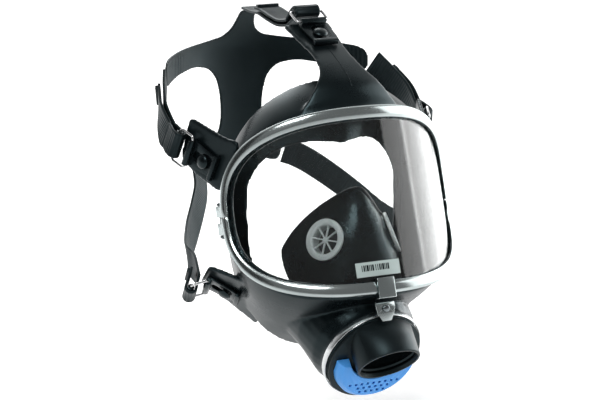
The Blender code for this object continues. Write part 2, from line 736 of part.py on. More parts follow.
def build_connector():
    """Threaded port on a flanged housing; what overhangs the flange is trimmed to its round edge."""
    envelope = [(0, 40.0), (FLANGE_RADIUS, 40.0), (FLANGE_RADIUS, GAP), (HOUSING_RADIUS, GAP),
                (HOUSING_RADIUS, -9.0), (NECK_RADIUS, -11.0), (NECK_RADIUS, -16.6), (0, -16.6)]
    housing = turned("connector_housing", envelope, "housing_black", RING, 44, closed=False)
    body = turned("housing_body", [(0, 2.2), (40.0, 2.2), (40.0, -30.0), (0, -30.0)], None, RING, 20, closed=False)
    tube = [(0, 0), (BORE_RADIUS + 1.3, 0), (PORT_RADIUS, -0.6), (PORT_RADIUS + 0.5, -40.0), (0, -40.0)]
    combine(body, turned("port_tube", tube, None, PORT, 40, closed=False), "UNION")
    combine(housing, body, "INTERSECT")
    back = [(0, -7.0), (NECK_RADIUS - 2.4, -7.0), (NECK_RADIUS - 2.4, -25.0), (0, -25.0)]
    combine(housing, turned("housing_back", back, None, RING, 36, closed=False), "DIFFERENCE")
    crest = BORE_RADIUS - THREAD_DEPTH
    bore = [(0, 4.0), (BORE_RADIUS + 0.6, 4.0), (BORE_RADIUS, -1.0)]
    for i in range(2):
        top = -2.2 - i * THREAD_PITCH
        bore += [(crest, top), (crest, top - 0.9), (BORE_RADIUS, top - 1.7), (BORE_RADIUS, top - 2.6)]
    bore += [(crest, -13.4), (crest, -16.0), (0, -16.0)]
    combine(housing, turned("port_bore", bore, None, PORT, 34, closed=False), "DIFFERENCE")
    inhale = RING @ Matrix.Translation((0, INHALE_UP * MM, 0))
    exhale = RING @ Matrix.Translation((0, -EXHALE_DOWN * MM, 0))
    combine(housing, cylinder("inhale_hole", INHALE_RADIUS, -9, 11, None, inhale, 26), "DIFFERENCE")
    combine(housing, cylinder("exhale_hole", EXHALE_RADIUS, -9, 5, None, exhale, 26), "DIFFERENCE")
    turned("port_washer", ring_profile(14.5, crest - GAP, -15.7, -13.8), "valve_rubber", PORT, 24)
    valve_seat("inhalation_valve_seat", INHALE_RADIUS - GAP, 8.6, -6.8, -4.0, "housing_black", inhale)
    valve_disc("inhalation_valve_disc", 9.9, -8.1, -7.2, "valve_rubber", inhale)
    valve_seat("exhalation_valve_seat", EXHALE_RADIUS - GAP, 7.0, -6.8, -3.2, "housing_black", exhale)
    valve_disc("exhalation_valve_disc", 8.6, -2.7, -1.8, "valve_rubber", exhale)


def valve_seat(name, outer, inner, low, high, finish, matrix):
    """Ring with a hub on spokes, all one piece."""
    seat = turned(name, ring_profile(inner, outer, low, high), finish, matrix, 24)
    combine(seat, cylinder(name + "_hub", 1.9, low + 0.2, high - 0.2, None, matrix, 12), "UNION")
    for i in range(4):
        turn = Matrix.Rotation(pi * i / 2, 4, "Z")
        combine(seat, box(name + "_spoke", (1.2, -0.5, low + 0.4), (inner + 0.8, 0.5, high - 0.4), None,
                          matrix @ turn), "UNION")
    return seat


def valve_disc(name, radius, low, high, finish, matrix):
    profile = [(0, high), (radius, high), (radius, low), (0, low)]
    return turned(name, profile, finish, matrix, 24, closed=False)


def build_cover():
    """Perforated cap over the exhalation valve; it pulls off along the port's axis."""
    def outline(radius, top):
        start = 270 - 78
        return arc((0, 0), radius, start, 540 - start, 18) + [(radius * 0.97, top), (-radius * 0.97, top)]

    def shell(name, radius, top, low, high, finish):
        slope = [(low, radius, top), (high - 3.0, radius - 0.6, top), (high, radius - 3.6, top - 1.0)]
        rings = [[(x, y, z) for x, y in outline(r, t)] for z, r, t in slope]
        return loft(name, rings, finish, RING)

    cover = shell("exhalation_cover", COVER_RADIUS, 3.0, COVER_LOW, COVER_HIGH, "cover_blue")
    inside = shell("cover_inside", COVER_RADIUS - 1.8, 1.2, COVER_LOW - 1.0, COVER_HIGH - 1.8, None)
    combine(cover, inside, "DIFFERENCE")
    tube = cylinder("cover_tube_clearance", PORT_RADIUS + 2.6, -40, 20, None, PORT, 32)
    combine(cover, tube, "DIFFERENCE")
    for row in range(3):
        for column in range(-4, 5):
            x = column * 4.6 + (2.3 if row % 2 else 0.0)
            y = -16.6 - row * 3.6
            if sqrt(x * x + y * y) < COVER_RADIUS - 5.6:
                hole = box("cover_hole", (x - 1, y - 1, COVER_HIGH - 4), (x + 1, y + 1, COVER_HIGH + 2), None, RING)
                combine(cover, hole, "DIFFERENCE")
    return cover


# ---------------------------------------------------------------- inner mask

def cup_point(turn, share):
    """Orinasal cup: from its face edge (share 0) to the housing collar (share 1)."""
    rise = sin(turn)
    upper = rise > 0
    taper = 1.0 - CUP_NOSE_TAPER * max(0.0, rise)
    rim = Vector((CUP_HALF_WIDTH * cos(turn) * taper, -9.0 - (27.0 if upper else 18.0) * rise ** 2,
                  -40.0 + (CUP_TOP + 40.0 if upper else -CUP_BOTTOM - 40.0) * rise))
    middle = Vector((29.0 * cos(turn), -51.0 - 12.0 * rise, -52.0 + (38.5 if upper else 56.0) * rise))
    collar = RING_CENTRE - RING_OUT * 19.0 + (Vector((cos(turn), 0, 0)) + RING_UP * rise) * CUP_COLLAR
    return rim * (1 - share) ** 2 + middle * (2 * share * (1 - share)) + collar * share ** 2


def cup_room():
    """Space the cup fills, with clearance, cut out of the facepiece."""
    rings = []
    for k in range(9):
        ring = [cup_point(2 * pi * i / 30, k / 8) for i in range(30)]
        middle = sum(ring, Vector()) / len(ring)
        rings.append([p + (p - middle).normalized() * (CUP_WALL / 2 + 0.9) for p in ring])
    return loft("cup_room", rings, None, fan_ends=True)


def control_valve_place():
    """On the wearer's right of the cup, Z out of its wall."""
    here = cup_point(CONTROL_TURN, CONTROL_SHARE)
    around = cup_point(CONTROL_TURN + 0.02, CONTROL_SHARE) - cup_point(CONTROL_TURN - 0.02, CONTROL_SHARE)
    forward = cup_point(CONTROL_TURN, CONTROL_SHARE + 0.02) - cup_point(CONTROL_TURN, CONTROL_SHARE - 0.02)
    return placement(here, around.cross(forward), (0, 0, 1))


def build_inner_mask():
    turns = [2 * pi * i / 30 for i in range(30)]
    rows = [[cup_point(t, 0.0).lerp(Vector((0, -10, -42)), 0.16) + Vector((0, 4.0, 0)) for t in turns]]
    rows += [[cup_point(t, k / 8) for t in turns] for k in range(9) if k != 7]
    rows.append([p + RING_OUT * 4.0 for p in rows[-1]])
    cup = sheet("inner_mask", rows, "rubber_black", CUP_WALL, wrap=True)
    right = control_valve_place()
    for side, matrix in (("right", right), ("left", mirrored(right))):
        boss = cylinder(f"valve_boss_{side}", SEAT_RADIUS + 0.8, -4.6, 1.0, None, matrix, 24)
        combine(cup, boss, "UNION")
        combine(cup, cylinder(f"valve_hole_{side}", SEAT_NECK + GAP, -12, 6, None, matrix, 24), "DIFFERENCE")
        seat = [(SEAT_RADIUS, 3.1), (SEAT_RADIUS, 1.3), (SEAT_NECK, 1.3), (SEAT_NECK, -4.9), (13.4, -4.9),
                (13.4, -6.2), (SEAT_OPENING, -6.2), (SEAT_OPENING, 2.2), (SEAT_OPENING + 1.0, 3.1)]
        body = turned(f"control_valve_seat_{side}", seat, "valve_grey", matrix, 22)
        combine(body, cylinder(f"seat_hub_{side}", 2.0, 0.2, 1.9, None, matrix, 12), "UNION")
        for i in range(SPOKES):
            turn = Matrix.Rotation(2 * pi * i / SPOKES, 4, "Z")
            combine(body, box("seat_spoke", (1.2, -0.45, 0.4), (SEAT_OPENING + 0.6, 0.45, 1.7), None, matrix @ turn),
                    "UNION")
        valve_disc(f"control_valve_disc_{side}", 11.6, -7.6, -6.7, "valve_rubber", matrix)
    return cup


# ---------------------------------------------------------------- head harness

def head_point(x, z):
    """Point on the back of the head's outline, leaning forward above the crown line."""
    y = HEAD_CENTRE_Y + HEAD_HALF_LENGTH * sqrt(max(0.0, 1 - (x / HEAD_HALF_WIDTH) ** 2))
    lean = (max(0.0, z - 75.0) / 8.8) ** 2
    return Vector((x, y - lean, z))


def build_harness_plate():
    columns = [ARM_END * (-1 + 2 * i / 22) * 1.02 for i in range(23)]
    heights = [PLATE_TOP + 2 - (PLATE_TOP + 28) * i / 16 for i in range(17)]
    plate = sheet("head_harness", [[head_point(x, z) for x in columns] for z in heights], "rubber_harness",
                  HARNESS_THICKNESS)
    half = [(6.0, 108.8), (7.0, 101.0), (9.5, 94.0), (16.0, 88.6), (32.0, 85.8), (60.0, 83.0), (ARM_END, 79.5),
            (ARM_END, 60.5), (60.0, 65.5), (42.0, 68.5), (28.0, 65.5), (20.5, 57.0), (17.5, 44.0), (16.5, 28.0),
            (20.0, 14.0), (33.0, 8.8), (29.4, -9.6), (14.0, -5.0), (4.0, 6.0)]
    loop = half + [(-x, z) for x, z in reversed(half)]
    place = Matrix.Rotation(radians(90), 4, "X")
    stencil = outline_curve("harness_stencil", [rounded(loop, 7.0, 3)], 320.0, -320.0, None, place)
    combine(plate, stencil, "INTERSECT")
    return plate


def wire_place(name):
    """Wire frame of a buckle: origin on its near side, X to the far side, Y along both."""
    near = BUCKLES[name] @ Matrix.Translation((WIRE_NEAR_X * MM, 0, WIRE_HEIGHT * MM))
    return near @ Matrix.Rotation(-radians(FRAME_FOLDS[name]), 4, "Y")


def hook_place(name):
    """Bar of a buckle: X the way its strap leaves it, Y along the bar, Z out of the head."""
    frame = wire_place(name) @ Matrix.Translation((WIRE_LENGTH * MM, 0, 0))
    bar = frame.to_3x3() @ Vector((0, 1, 0))
    away = STRAP_AWAY[name]
    away = (away - bar * away.dot(bar)).normalized()
    return placement(frame.translation / MM, away.cross(bar), away)


def strap_route(name):
    """Centre line and outward normals of a strap, from the harness plate to its buckle."""
    side = -1 if name.endswith("right") else 1
    hook = hook_place(name)
    level = -(BAR_RADIUS + GAP + STRAP_THICKNESS / 2)
    lead = JAW_LEADS.get(name, (CUT_X + CUT_GAP + 5.0, 0, level))
    last = [(hook @ (Vector(p) * MM)) / MM for p in (lead, (CUT_X + CUT_GAP, 0, level))]
    out = hook.to_3x3() @ Vector((0, 0, 1))
    if name == "forehead":
        keys = [(0, 129.6, 110.4), (0, 113.0, 109.8), (0, 97.0, 110.4), (0, 80.0, 107.6), (0, 66.0, 106.0)]
        normals = [(0, 0.3, 0.95), (0, -0.05, 1.0), (0, 0.0, 1.0), (0, -0.15, 0.98), (0, 0.1, 1.0)]
    elif name.startswith("temple"):
        keys = [head_point(side * (ARM_END + 2.6), 69.0), (side * 90.0, 82.0, 60.0), (side * 96.0, 68.5, 49.0)]
        normals = [(side * 0.85, 0.5, 0.0), (side * 0.93, 0.36, -0.1), (side * 0.97, 0.1, -0.1)]
    elif name == "jaw_left":
        keys = [head_point(33.4, -1.2), (41.0, 135.0, -4.0), (51.0, 129.0, -10.0), (65.0, 119.0, -21.0),
                (78.0, 104.0, -33.5), (88.0, 87.0, -45.0)]
        normals = [(0.22, 0.97, 0.0), (0.36, 0.93, 0.0), (0.5, 0.86, 0.0), (0.66, 0.75, 0.0), (0.79, 0.6, 0.0),
                   (0.89, 0.45, 0.0)]
    else:
        keys = [head_point(-33.4, -1.2), (-40.0, 133.5, -4.0), (-46.0, 117.0, -19.5), (-55.0, 104.0, -31.5),
                (-69.0, 84.5, -44.0), (-82.5, 61.5, -53.5)]
        normals = [(-0.3, 0.95, 0.0), (-0.45, 0.88, -0.05), (-0.5, 0.85, -0.1), (-0.5, 0.85, -0.15),
                   (-0.5, 0.85, -0.15), (-0.6, 0.78, 0.0)]
    path = smooth_path([Vector(k) for k in keys] + last, 3)
    normal_path = smooth_path([Vector(n).normalized() for n in normals] + [out, out], 3)
    return path, [n.normalized() for n in normal_path]


def ribbon(name, stations, matrix=None):
    """Flat strap through (centre, width vector) stations."""
    shift = matrix.inverted() if matrix is not None else Matrix.Identity(4)
    rows = []
    for centre, width in stations:
        rows.append([(shift @ ((centre + width * share) * MM)) / MM for share in (-0.5, 0.0, 0.5)])
    return sheet(name, rows, "rubber_harness", STRAP_THICKNESS, matrix)


def widths_along(path, normals, widths):
    """Stations with width vectors square to the path and to its normals."""
    stations = []
    for i, point in enumerate(path):
        tangent = path[min(i + 1, len(path) - 1)] - path[max(i - 1, 0)]
        stations.append((point, normals[i].cross(tangent).normalized() * widths[i]))
    return stations


def strap_widths(name, path, normals):
    widths = [STRAP_WIDTH] * len(path)
    if name == "forehead":
        widths = [min(STRAP_WIDTH, 12.0 + i) for i in range(len(path))]
    stations = widths_along(path, normals, widths)
    bar = hook_place(name).to_3x3() @ Vector((0, STRAP_WIDTH, 0))
    if bar.dot(stations[-1][1]) < 0:
        bar = -bar
    for i in range(4):
        centre, width = stations[-1 - i]
        stations[-1 - i] = (centre, width.lerp(bar, 1 - i / 4).normalized() * width.length)
    return stations


def tail_stations(stations, normals, length):
    """Free end of a strap, from its buckle back along the outside of the strap."""
    tail = []
    travelled = 0.0
    before = stations[-1][0]
    settled = STRAP_THICKNESS + TAIL_GAP
    start = 2 * (BAR_RADIUS + GAP) + STRAP_THICKNESS
    for i in reversed(range(len(stations))):
        point, width = stations[i]
        travelled += (point - before).length
        before = point
        tangent = stations[min(i + 1, len(stations) - 1)][0] - stations[max(i - 1, 0)][0]
        normal = tangent.cross(width).normalized()
        if normal.dot(normals[i]) < 0:
            normal = -normal
        if travelled > length:
            break
        share = min(1.0, (travelled + CUT_X + CUT_GAP) / 19.0)
        lift = start + (settled - start) * share * share * (3 - 2 * share)
        tail.append((point + normal * lift, width.normalized() * STRAP_WIDTH))
    return tail


def build_strap_end(name, strap, normals):
    """Strap end that turns round the buckle's bar and lies back on the strap."""
    hook = hook_place(name)
    reach = BAR_RADIUS + GAP + STRAP_THICKNESS / 2
    local = [(CUT_X, -reach), (CUT_X / 2, -reach)]
    for i in range(9):
        angle = radians(270 - 22.5 * i)
        local.append((reach * cos(angle), reach * sin(angle)))
    local.append((4.0, reach - 0.3))
    short = name.startswith("jaw")
    if short:
        local += JAW_TAIL
    across = hook.to_3x3() @ Vector((0, 1, 0))
    if across.dot(strap[-1][1]) < 0:
        across = -across
    stations = [((hook @ Vector((x * MM, 0, z * MM))) / MM, across * STRAP_WIDTH) for x, z in local]
    if not short:
        stations += tail_stations(strap, normals, TAIL_LENGTHS[name.split("_")[0]])
    end = ribbon(name + "_strap_end", stations, BUCKLES[name])
    tip, width = stations[-1]
    along = tip - stations[-2][0]
    normal = along.cross(width)
    if normal.dot(normals[-1]) < 0:
        normal = -normal
    half = STRAP_WIDTH / 2 - 1.0
    bar = box(name + "_tip_bar", (-4.0, -half, -0.6), (-1.2, half, 2.8), None, placement(tip, normal, along))
    combine(end, bar, "UNION")
    if name.startswith("temple"):
        combine(end, box(name + "_notch", (CUT_X - 1.0, -30, -9), (CUT_X + 8.0, 30, 0.4), None, hook), "DIFFERENCE")


def build_buckle(name):
    matrix = BUCKLES[name]
    outline = rounded([(-9.0, -7.6), (9.0, -9.6), (13.0, -9.6), (13.0, 9.6), (9.0, 9.6), (-9.0, 7.6)], 3.0)
    slot = arc((0, 0), STUD_RADIUS + 0.4, 120, 240, 6) + arc((7.0, 0), 3.6, -120, 120, 9)
    tab = outline_curve(name + "_buckle_tab", [outline, slot], 2.0, 0.5, "buckle_black", matrix)
    combine(tab, box("pull_bar", (-11.5, -9.5, 0.5), (-8.2, 9.5, 4.6), None, matrix, rounding=0.6), "UNION")
    across = Matrix.Rotation(radians(90), 4, "X")
    near = matrix @ Matrix.Translation((WIRE_NEAR_X * MM, 0, WIRE_HEIGHT * MM)) @ across
    combine(tab, cylinder("wire_sleeve", 2.4, -9.4, 9.4, None, near, 14), "UNION")
    combine(tab, box("sleeve_foot", (10.8, -9.4, 0.5), (14.8, 9.4, 4.4), None, matrix), "UNION")
    combine(tab, cylinder("sleeve_bore", WIRE_RADIUS + 0.4, -14, 14, None, near, 12), "DIFFERENCE")
    frame = wire_place(name)
    corner = 2.2
    x_out = WIRE_LENGTH - corner
    y_out = WIRE_HALF_WIDTH - corner
    loop = []
    for x, y, start in ((x_out, y_out, 0), (corner, y_out, 90), (corner, -y_out, 180), (x_out, -y_out, 270)):
        loop += [(px, py, 0.0) for px, py in arc((x, y), corner, start, start + 90, 3)]
    wire(name + "_buckle_wire", loop, WIRE_RADIUS, "wire_steel", frame, cyclic=True)
    far = frame @ Matrix.Translation((WIRE_LENGTH * MM, 0, 0)) @ across
    turned(name + "_buckle_bar", ring_profile(WIRE_RADIUS + 0.4, BAR_RADIUS, -9.6, 9.6), "buckle_black", far, 14)
    stud = [(0, 6.2), (2.6, 5.9), (4.4, 5.1), (STUD_HEAD_RADIUS, 4.2), (STUD_HEAD_RADIUS - 0.3, 3.3),
            (STUD_RADIUS, 3.3), (STUD_RADIUS, -3.6), (4.6, -3.6), (4.6, -4.6), (0, -4.6)]
    turned(name + "_stud", stud, "buckle_black", matrix, 14, closed=False)


def build_harness():
    build_harness_plate()
    for name in BUCKLES:
        path, normals = strap_route(name)
        strap = strap_widths(name, path, normals)
        ribbon(name + "_strap", strap)
        build_strap_end(name, strap, normals)
        build_buckle(name)


build_facepiece()
build_visor()
build_clip()
build_clamp()
build_connector()
build_cover()
build_inner_mask()
build_harness()
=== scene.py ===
import json
from math import cos, pi, radians, sin, sqrt

import bmesh
import bpy
import numpy as np
from mathutils import Matrix, Vector
from mathutils.bvhtree import BVHTree

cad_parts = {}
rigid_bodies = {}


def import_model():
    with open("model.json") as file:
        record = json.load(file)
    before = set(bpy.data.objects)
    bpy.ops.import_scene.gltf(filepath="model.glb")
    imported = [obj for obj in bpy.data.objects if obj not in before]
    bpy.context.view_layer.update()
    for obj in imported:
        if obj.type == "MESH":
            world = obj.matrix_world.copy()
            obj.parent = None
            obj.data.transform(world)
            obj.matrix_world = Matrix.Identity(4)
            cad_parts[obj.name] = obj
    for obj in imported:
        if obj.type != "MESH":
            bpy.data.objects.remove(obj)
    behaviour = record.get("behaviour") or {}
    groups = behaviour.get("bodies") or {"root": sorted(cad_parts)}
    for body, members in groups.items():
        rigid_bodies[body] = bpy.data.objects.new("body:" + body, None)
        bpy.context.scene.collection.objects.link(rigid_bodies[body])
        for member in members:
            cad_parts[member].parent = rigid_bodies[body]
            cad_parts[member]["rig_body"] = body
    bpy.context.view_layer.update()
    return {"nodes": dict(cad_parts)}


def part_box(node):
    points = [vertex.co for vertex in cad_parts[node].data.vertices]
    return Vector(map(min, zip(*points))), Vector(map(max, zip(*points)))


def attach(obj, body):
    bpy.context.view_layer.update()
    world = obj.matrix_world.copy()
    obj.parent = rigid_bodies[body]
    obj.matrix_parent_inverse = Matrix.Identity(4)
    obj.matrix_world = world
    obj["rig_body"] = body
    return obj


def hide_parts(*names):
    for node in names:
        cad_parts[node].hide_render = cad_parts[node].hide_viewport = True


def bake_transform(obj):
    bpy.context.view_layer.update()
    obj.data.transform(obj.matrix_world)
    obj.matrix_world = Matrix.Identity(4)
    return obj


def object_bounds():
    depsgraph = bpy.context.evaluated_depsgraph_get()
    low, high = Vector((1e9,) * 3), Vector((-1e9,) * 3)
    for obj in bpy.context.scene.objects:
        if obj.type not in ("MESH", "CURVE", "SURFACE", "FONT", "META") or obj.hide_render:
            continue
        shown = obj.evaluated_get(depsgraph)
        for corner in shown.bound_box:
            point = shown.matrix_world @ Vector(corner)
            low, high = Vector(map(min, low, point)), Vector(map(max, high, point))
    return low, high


for leftover in list(bpy.data.objects):
    bpy.data.objects.remove(leftover, do_unlink=True)
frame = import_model()

# Fine versions of the CAD shapes, in millimetres in the row frame; each is then seated on its CAD node's box.
MADE = {}
SLOTS = {}
CUTTERS = []

MM = 0.001
GAP = 0.3
WELD = 0.00001

# Visor: part of a cylinder that leans forward at the bottom, inside a superellipse outline.
VISOR_RADIUS = 93.6
VISOR_HALF_ANGLE = radians(63.9)
VISOR_LEAN = radians(18.0)
VISOR_FRONT_Y = -60.0
VISOR_RISE = 61.7
VISOR_DROP = 59.0
TOP_SQUARENESS = 2.64
BOTTOM_SQUARENESS = 2.40
LENS_THICKNESS = 2.5
OUTLINE_POINTS = 192

# Facepiece: rubber shell from the visor's groove back to the face seal.
WALL = 2.8
LIP_INSET = -5.6
NECK_OUT = 0.6
BEAD_OUT = 3.1
SHELL_OUT = 5.4
SEAL_HALF_WIDTH = 71.0
SEAL_TOP = 78.0
SEAL_BOTTOM = -116.0
LUG_THICKNESS = 3.0

# Connector: clamp ring plane and threaded port.
RING_CENTRE = Vector((0.0, -63.0, -108.0))
RING_TILT = radians(28.0)
BAND_RADIUS = 36.5
COLLAR_RADIUS = 35.4
HOUSING_RADIUS = 32.3
FLANGE_RADIUS = 34.6
NECK_RADIUS = 29.6
PORT_RIM = Vector((0.0, -85.2, -108.7))
PORT_TILT = radians(51.3)
PORT_RADIUS = 22.4
BORE_RADIUS = 20.5
THREAD_PITCH = 25.4 / 7.0
THREAD_DEPTH = 0.9

# Valves in the housing: distances are from the ring's centre.
INHALE_UP = 12.0
INHALE_RADIUS = 11.0
EXHALE_DOWN = 19.0
EXHALE_RADIUS = 9.3
COVER_RADIUS = 31.2
COVER_LOW = 2.5
COVER_HIGH = 9.5

# Side joints of the visor frame, the clip over its middle, and the label.
LUG_OUT = 6.1
SCREW_RADIUS = 1.2
CLIP_X = -1.5
CLIP_HALF_WIDTH = 6.5
CLIP_TOP = -52.4
CLIP_BOTTOM = -66.4
LABEL_ARCS = [-19.6 + 32.8 * i / 24 for i in range(25)]
LABEL_TOP = -40.6
LABEL_HEIGHT = 10.0

# Orinasal cup and its control valves.
CUP_WALL = 2.0
CUP_HALF_WIDTH = 42.5
CUP_NOSE_TAPER = 0.5
CUP_TOP = 5.0
CUP_BOTTOM = -88.0
CUP_COLLAR = 31.1
CONTROL_TURN = radians(145.0)
CONTROL_SHARE = 0.33
SEAT_RADIUS = 14.6
SEAT_OPENING = 10.2
SEAT_NECK = 11.4
SPOKES = 8

# Head harness, wrapped on the head's plan ellipse.
HEAD_CENTRE_Y = 40.0
HEAD_HALF_WIDTH = 98.0
HEAD_HALF_LENGTH = 105.0
HARNESS_THICKNESS = 2.2
STRAP_WIDTH = 19.0
STRAP_THICKNESS = 2.0
ARM_END = 82.0
PLATE_TOP = 109.0
TAIL_GAP = 1.4
TAIL_LENGTHS = {"forehead": 56.0, "temple": 44.0}
RIB_PITCH = 2.1
RIB_DEPTH = 0.32
RING_SPACING = 0.42
JAW_TAIL = [(9.0, 2.9), (15.0, 2.6)]
JAW_LEADS = {"jaw_right": (23.0, 9.0, 1.8), "jaw_left": (28.0, -16.0, -0.6)}

# Button buckles, in their own frame: X towards the strap, Y across, Z out of the lug.
WIRE_LENGTH = 12.5
WIRE_NEAR_X = 13.0
WIRE_HEIGHT = 5.1
WIRE_RADIUS = 0.9
WIRE_HALF_WIDTH = 12.4
BAR_RADIUS = 2.4
CUT_X = 9.0
CUT_GAP = 1.6
STUD_RADIUS = 2.3
STUD_HEAD_RADIUS = 5.2

# Points between two keys of a strap's route, and how many of the last ones turn level with the buckle's bar.
STRAP_STEPS = 12
BAR_BLEND = 16


def add_object(name, data, finish, matrix=None):
    """Put mesh data in the scene; finish None makes a cutter."""
    obj = bpy.data.objects.new(name + "_fine", data)
    if matrix is not None:
        obj.matrix_world = matrix
    bpy.context.scene.collection.objects.link(obj)
    if finish is None:
        obj.hide_render = True
        CUTTERS.append(obj)
    else:
        MADE[name] = obj
        SLOTS[name] = finish
    return obj


def stored(bm, name):
    """Mesh from a bmesh, which is freed."""
    mesh = bpy.data.meshes.new(name)
    bm.to_mesh(mesh)
    bm.free()
    return mesh


def evaluated_mesh(obj):
    """New mesh of an object with its modifiers applied."""
    bpy.context.view_layer.update()
    graph = bpy.context.evaluated_depsgraph_get()
    return bpy.data.meshes.new_from_object(obj.evaluated_get(graph))


def placement(origin, outward, along):
    """Frame with Z along `outward` and X as near `along` as it can be; the origin is in millimetres."""
    z_axis = Vector(outward).normalized()
    x_axis = Vector(along) - z_axis * z_axis.dot(Vector(along))
    x_axis.normalize()
    y_axis = z_axis.cross(x_axis)
    matrix = Matrix((x_axis, y_axis, z_axis)).transposed().to_4x4()
    matrix.translation = Vector(origin) * MM
    return matrix


def skin(bm, rows, wrap):
    """Quads between neighbouring rows of points; gives the rows of vertices."""
    grid = [[bm.verts.new(Vector(p) * MM) for p in row] for row in rows]
    width = len(rows[0])
    for lower, upper in zip(grid, grid[1:]):
        for i in range(width if wrap else width - 1):
            j = (i + 1) % width
            bm.faces.new((lower[i], lower[j], upper[j], upper[i]))
    return grid


def loft(name, rings, finish, matrix=None, fan_ends=False):
    """Skin closed rings of equal length; the ends are flat caps, or fans to their middle."""
    bm = bmesh.new()
    loops = skin(bm, rings, True)
    size = len(rings[0])
    for loop in (loops[0], loops[-1]):
        if fan_ends:
            tip = bm.verts.new(sum((v.co for v in loop), Vector()) / size)
            for i in range(size):
                bm.faces.new((loop[i], loop[(i + 1) % size], tip))
        else:
            bm.faces.new(loop)
    bmesh.ops.triangulate(bm, faces=[f for f in bm.faces if len(f.verts) > 3])
    bmesh.ops.recalc_face_normals(bm, faces=bm.faces)
    return add_object(name, stored(bm, name), finish, matrix)


def sheet(name, rows, finish, thickness, wrap=False):
    """Open surface through rows of points, given its thickness by Solidify."""
    bm = bmesh.new()
    skin(bm, rows, wrap)
    obj = add_object(name, stored(bm, name), finish)
    solid = obj.modifiers.new("thickness", "SOLIDIFY")
    solid.thickness = thickness * MM
    solid.offset = 0.0
    solid.use_even_offset = True
    return obj


def turned(name, profile, finish, matrix, steps):
    """Turn a profile of (radius, height) points, top to bottom down its outer side; a ring's profile closes."""
    points = [(r * MM, 0.0, z * MM) for r, z in profile]
    edges = [(i, i + 1) for i in range(len(points) - 1)]
    if profile[0][0] > 0:
        edges.append((len(points) - 1, 0))
    mesh = bpy.data.meshes.new(name)
    mesh.from_pydata(points, edges, [])
    obj = add_object(name, mesh, finish, matrix)
    screw = obj.modifiers.new("turn", "SCREW")
    screw.steps = steps
    screw.render_steps = steps
    screw.use_merge_vertices = True
    screw.merge_threshold = WELD
    return obj


def ring_profile(inner, outer, low, high):
    return [(outer, high), (outer, low), (inner, low), (inner, high)]


def add_spline(curve, points, cyclic):
    spline = curve.splines.new("POLY")
    spline.points.add(len(points) - 1)
    spline.use_cyclic_u = cyclic
    for knot, point in zip(spline.points, points):
        knot.co = (*(value * MM for value in point), 1.0)


def curve_piece(name, curve, finish, matrix):
    """Mesh piece made from a curve, with its caps welded to its sides."""
    shape = bpy.data.objects.new(name, curve)
    shape.matrix_world = matrix
    bpy.context.scene.collection.objects.link(shape)
    bm = bmesh.new()
    bm.from_mesh(evaluated_mesh(shape))
    bpy.data.objects.remove(shape, do_unlink=True)
    bmesh.ops.remove_doubles(bm, verts=bm.verts, dist=WELD)
    bmesh.ops.triangulate(bm, faces=[f for f in bm.faces if len(f.verts) > 4])
    bmesh.ops.recalc_face_normals(bm, faces=bm.faces)
    return add_object(name, stored(bm, name), finish, matrix)


def plate(name, loops, thickness, low, finish, matrix):
    """Flat outline (and its holes) in X and Y, extruded from height `low` by `thickness`."""
    curve = bpy.data.curves.new(name, "CURVE")
    curve.dimensions = "2D"
    curve.fill_mode = "BOTH"
    curve.extrude = thickness * MM / 2
    for loop in loops:
        add_spline(curve, [(x, y, 0.0) for x, y in loop], True)
    lift = Matrix.Translation((0, 0, (low + thickness / 2) * MM))
    return curve_piece(name, curve, finish, matrix @ lift)


def tube_curve(name, points, radius, resolution, cyclic=False):
    """Round curve along a polyline."""
    curve = bpy.data.curves.new(name, "CURVE")
    curve.dimensions = "3D"
    curve.bevel_depth = radius * MM
    curve.bevel_resolution = resolution
    curve.use_fill_caps = not cyclic
    add_spline(curve, points, cyclic)
    return curve


def cylinder(name, radius, low, high, finish, matrix, segments):
    bm = bmesh.new()
    lift = Matrix.Translation((0, 0, (low + high) / 2 * MM))
    bmesh.ops.create_cone(bm, cap_ends=True, segments=segments, radius1=radius * MM, radius2=radius * MM,
                          depth=(high - low) * MM, matrix=lift)
    return add_object(name, stored(bm, name), finish, matrix)


def box(name, low, high, finish, matrix, rounding=0.0):
    bm = bmesh.new()
    size = [(b - a) * MM for a, b in zip(low, high)]
    centre = [(a + b) / 2 * MM for a, b in zip(low, high)]
    bmesh.ops.create_cube(bm, size=1.0, matrix=Matrix.Translation(centre) @ Matrix.Diagonal((*size, 1.0)))
    obj = add_object(name, stored(bm, name), finish, matrix)
    if rounding:
        edge = obj.modifiers.new("rounding", "BEVEL")
        edge.width = rounding * MM
        edge.segments = 3
    return obj


def rod(radius, low, high, matrix, segments):
    """Cylinder to join or cut with."""
    return cylinder("rod", radius, low, high, None, matrix, segments)


def block(low, high, matrix, rounding=0.0):
    """Box to join or cut with."""
    return box("block", low, high, None, matrix, rounding)


def combine(target, operation, *others):
    """Boolean modifiers on the target, one for each of the others."""
    for other in others:
        step = target.modifiers.new(operation.lower(), "BOOLEAN")
        step.operation = operation
        step.object = other
        step.solver = "EXACT"


def join(target, *others):
    combine(target, "UNION", *others)


def cut(target, *others):
    combine(target, "DIFFERENCE", *others)


def mirrored(matrix):
    """The same placement on the other side of the face."""
    flip = Matrix.Diagonal((-1, 1, 1, 1))
    swap = Matrix.Diagonal((1, -1, 1, 1))
    return flip @ matrix @ swap


def arc(centre, radius, start, end, count):
    """Points (x, y) on an arc; the angles are in degrees."""
    angles = [radians(start + (end - start) * i / (count - 1)) for i in range(count)]
    return [(centre[0] + radius * cos(a), centre[1] + radius * sin(a)) for a in angles]


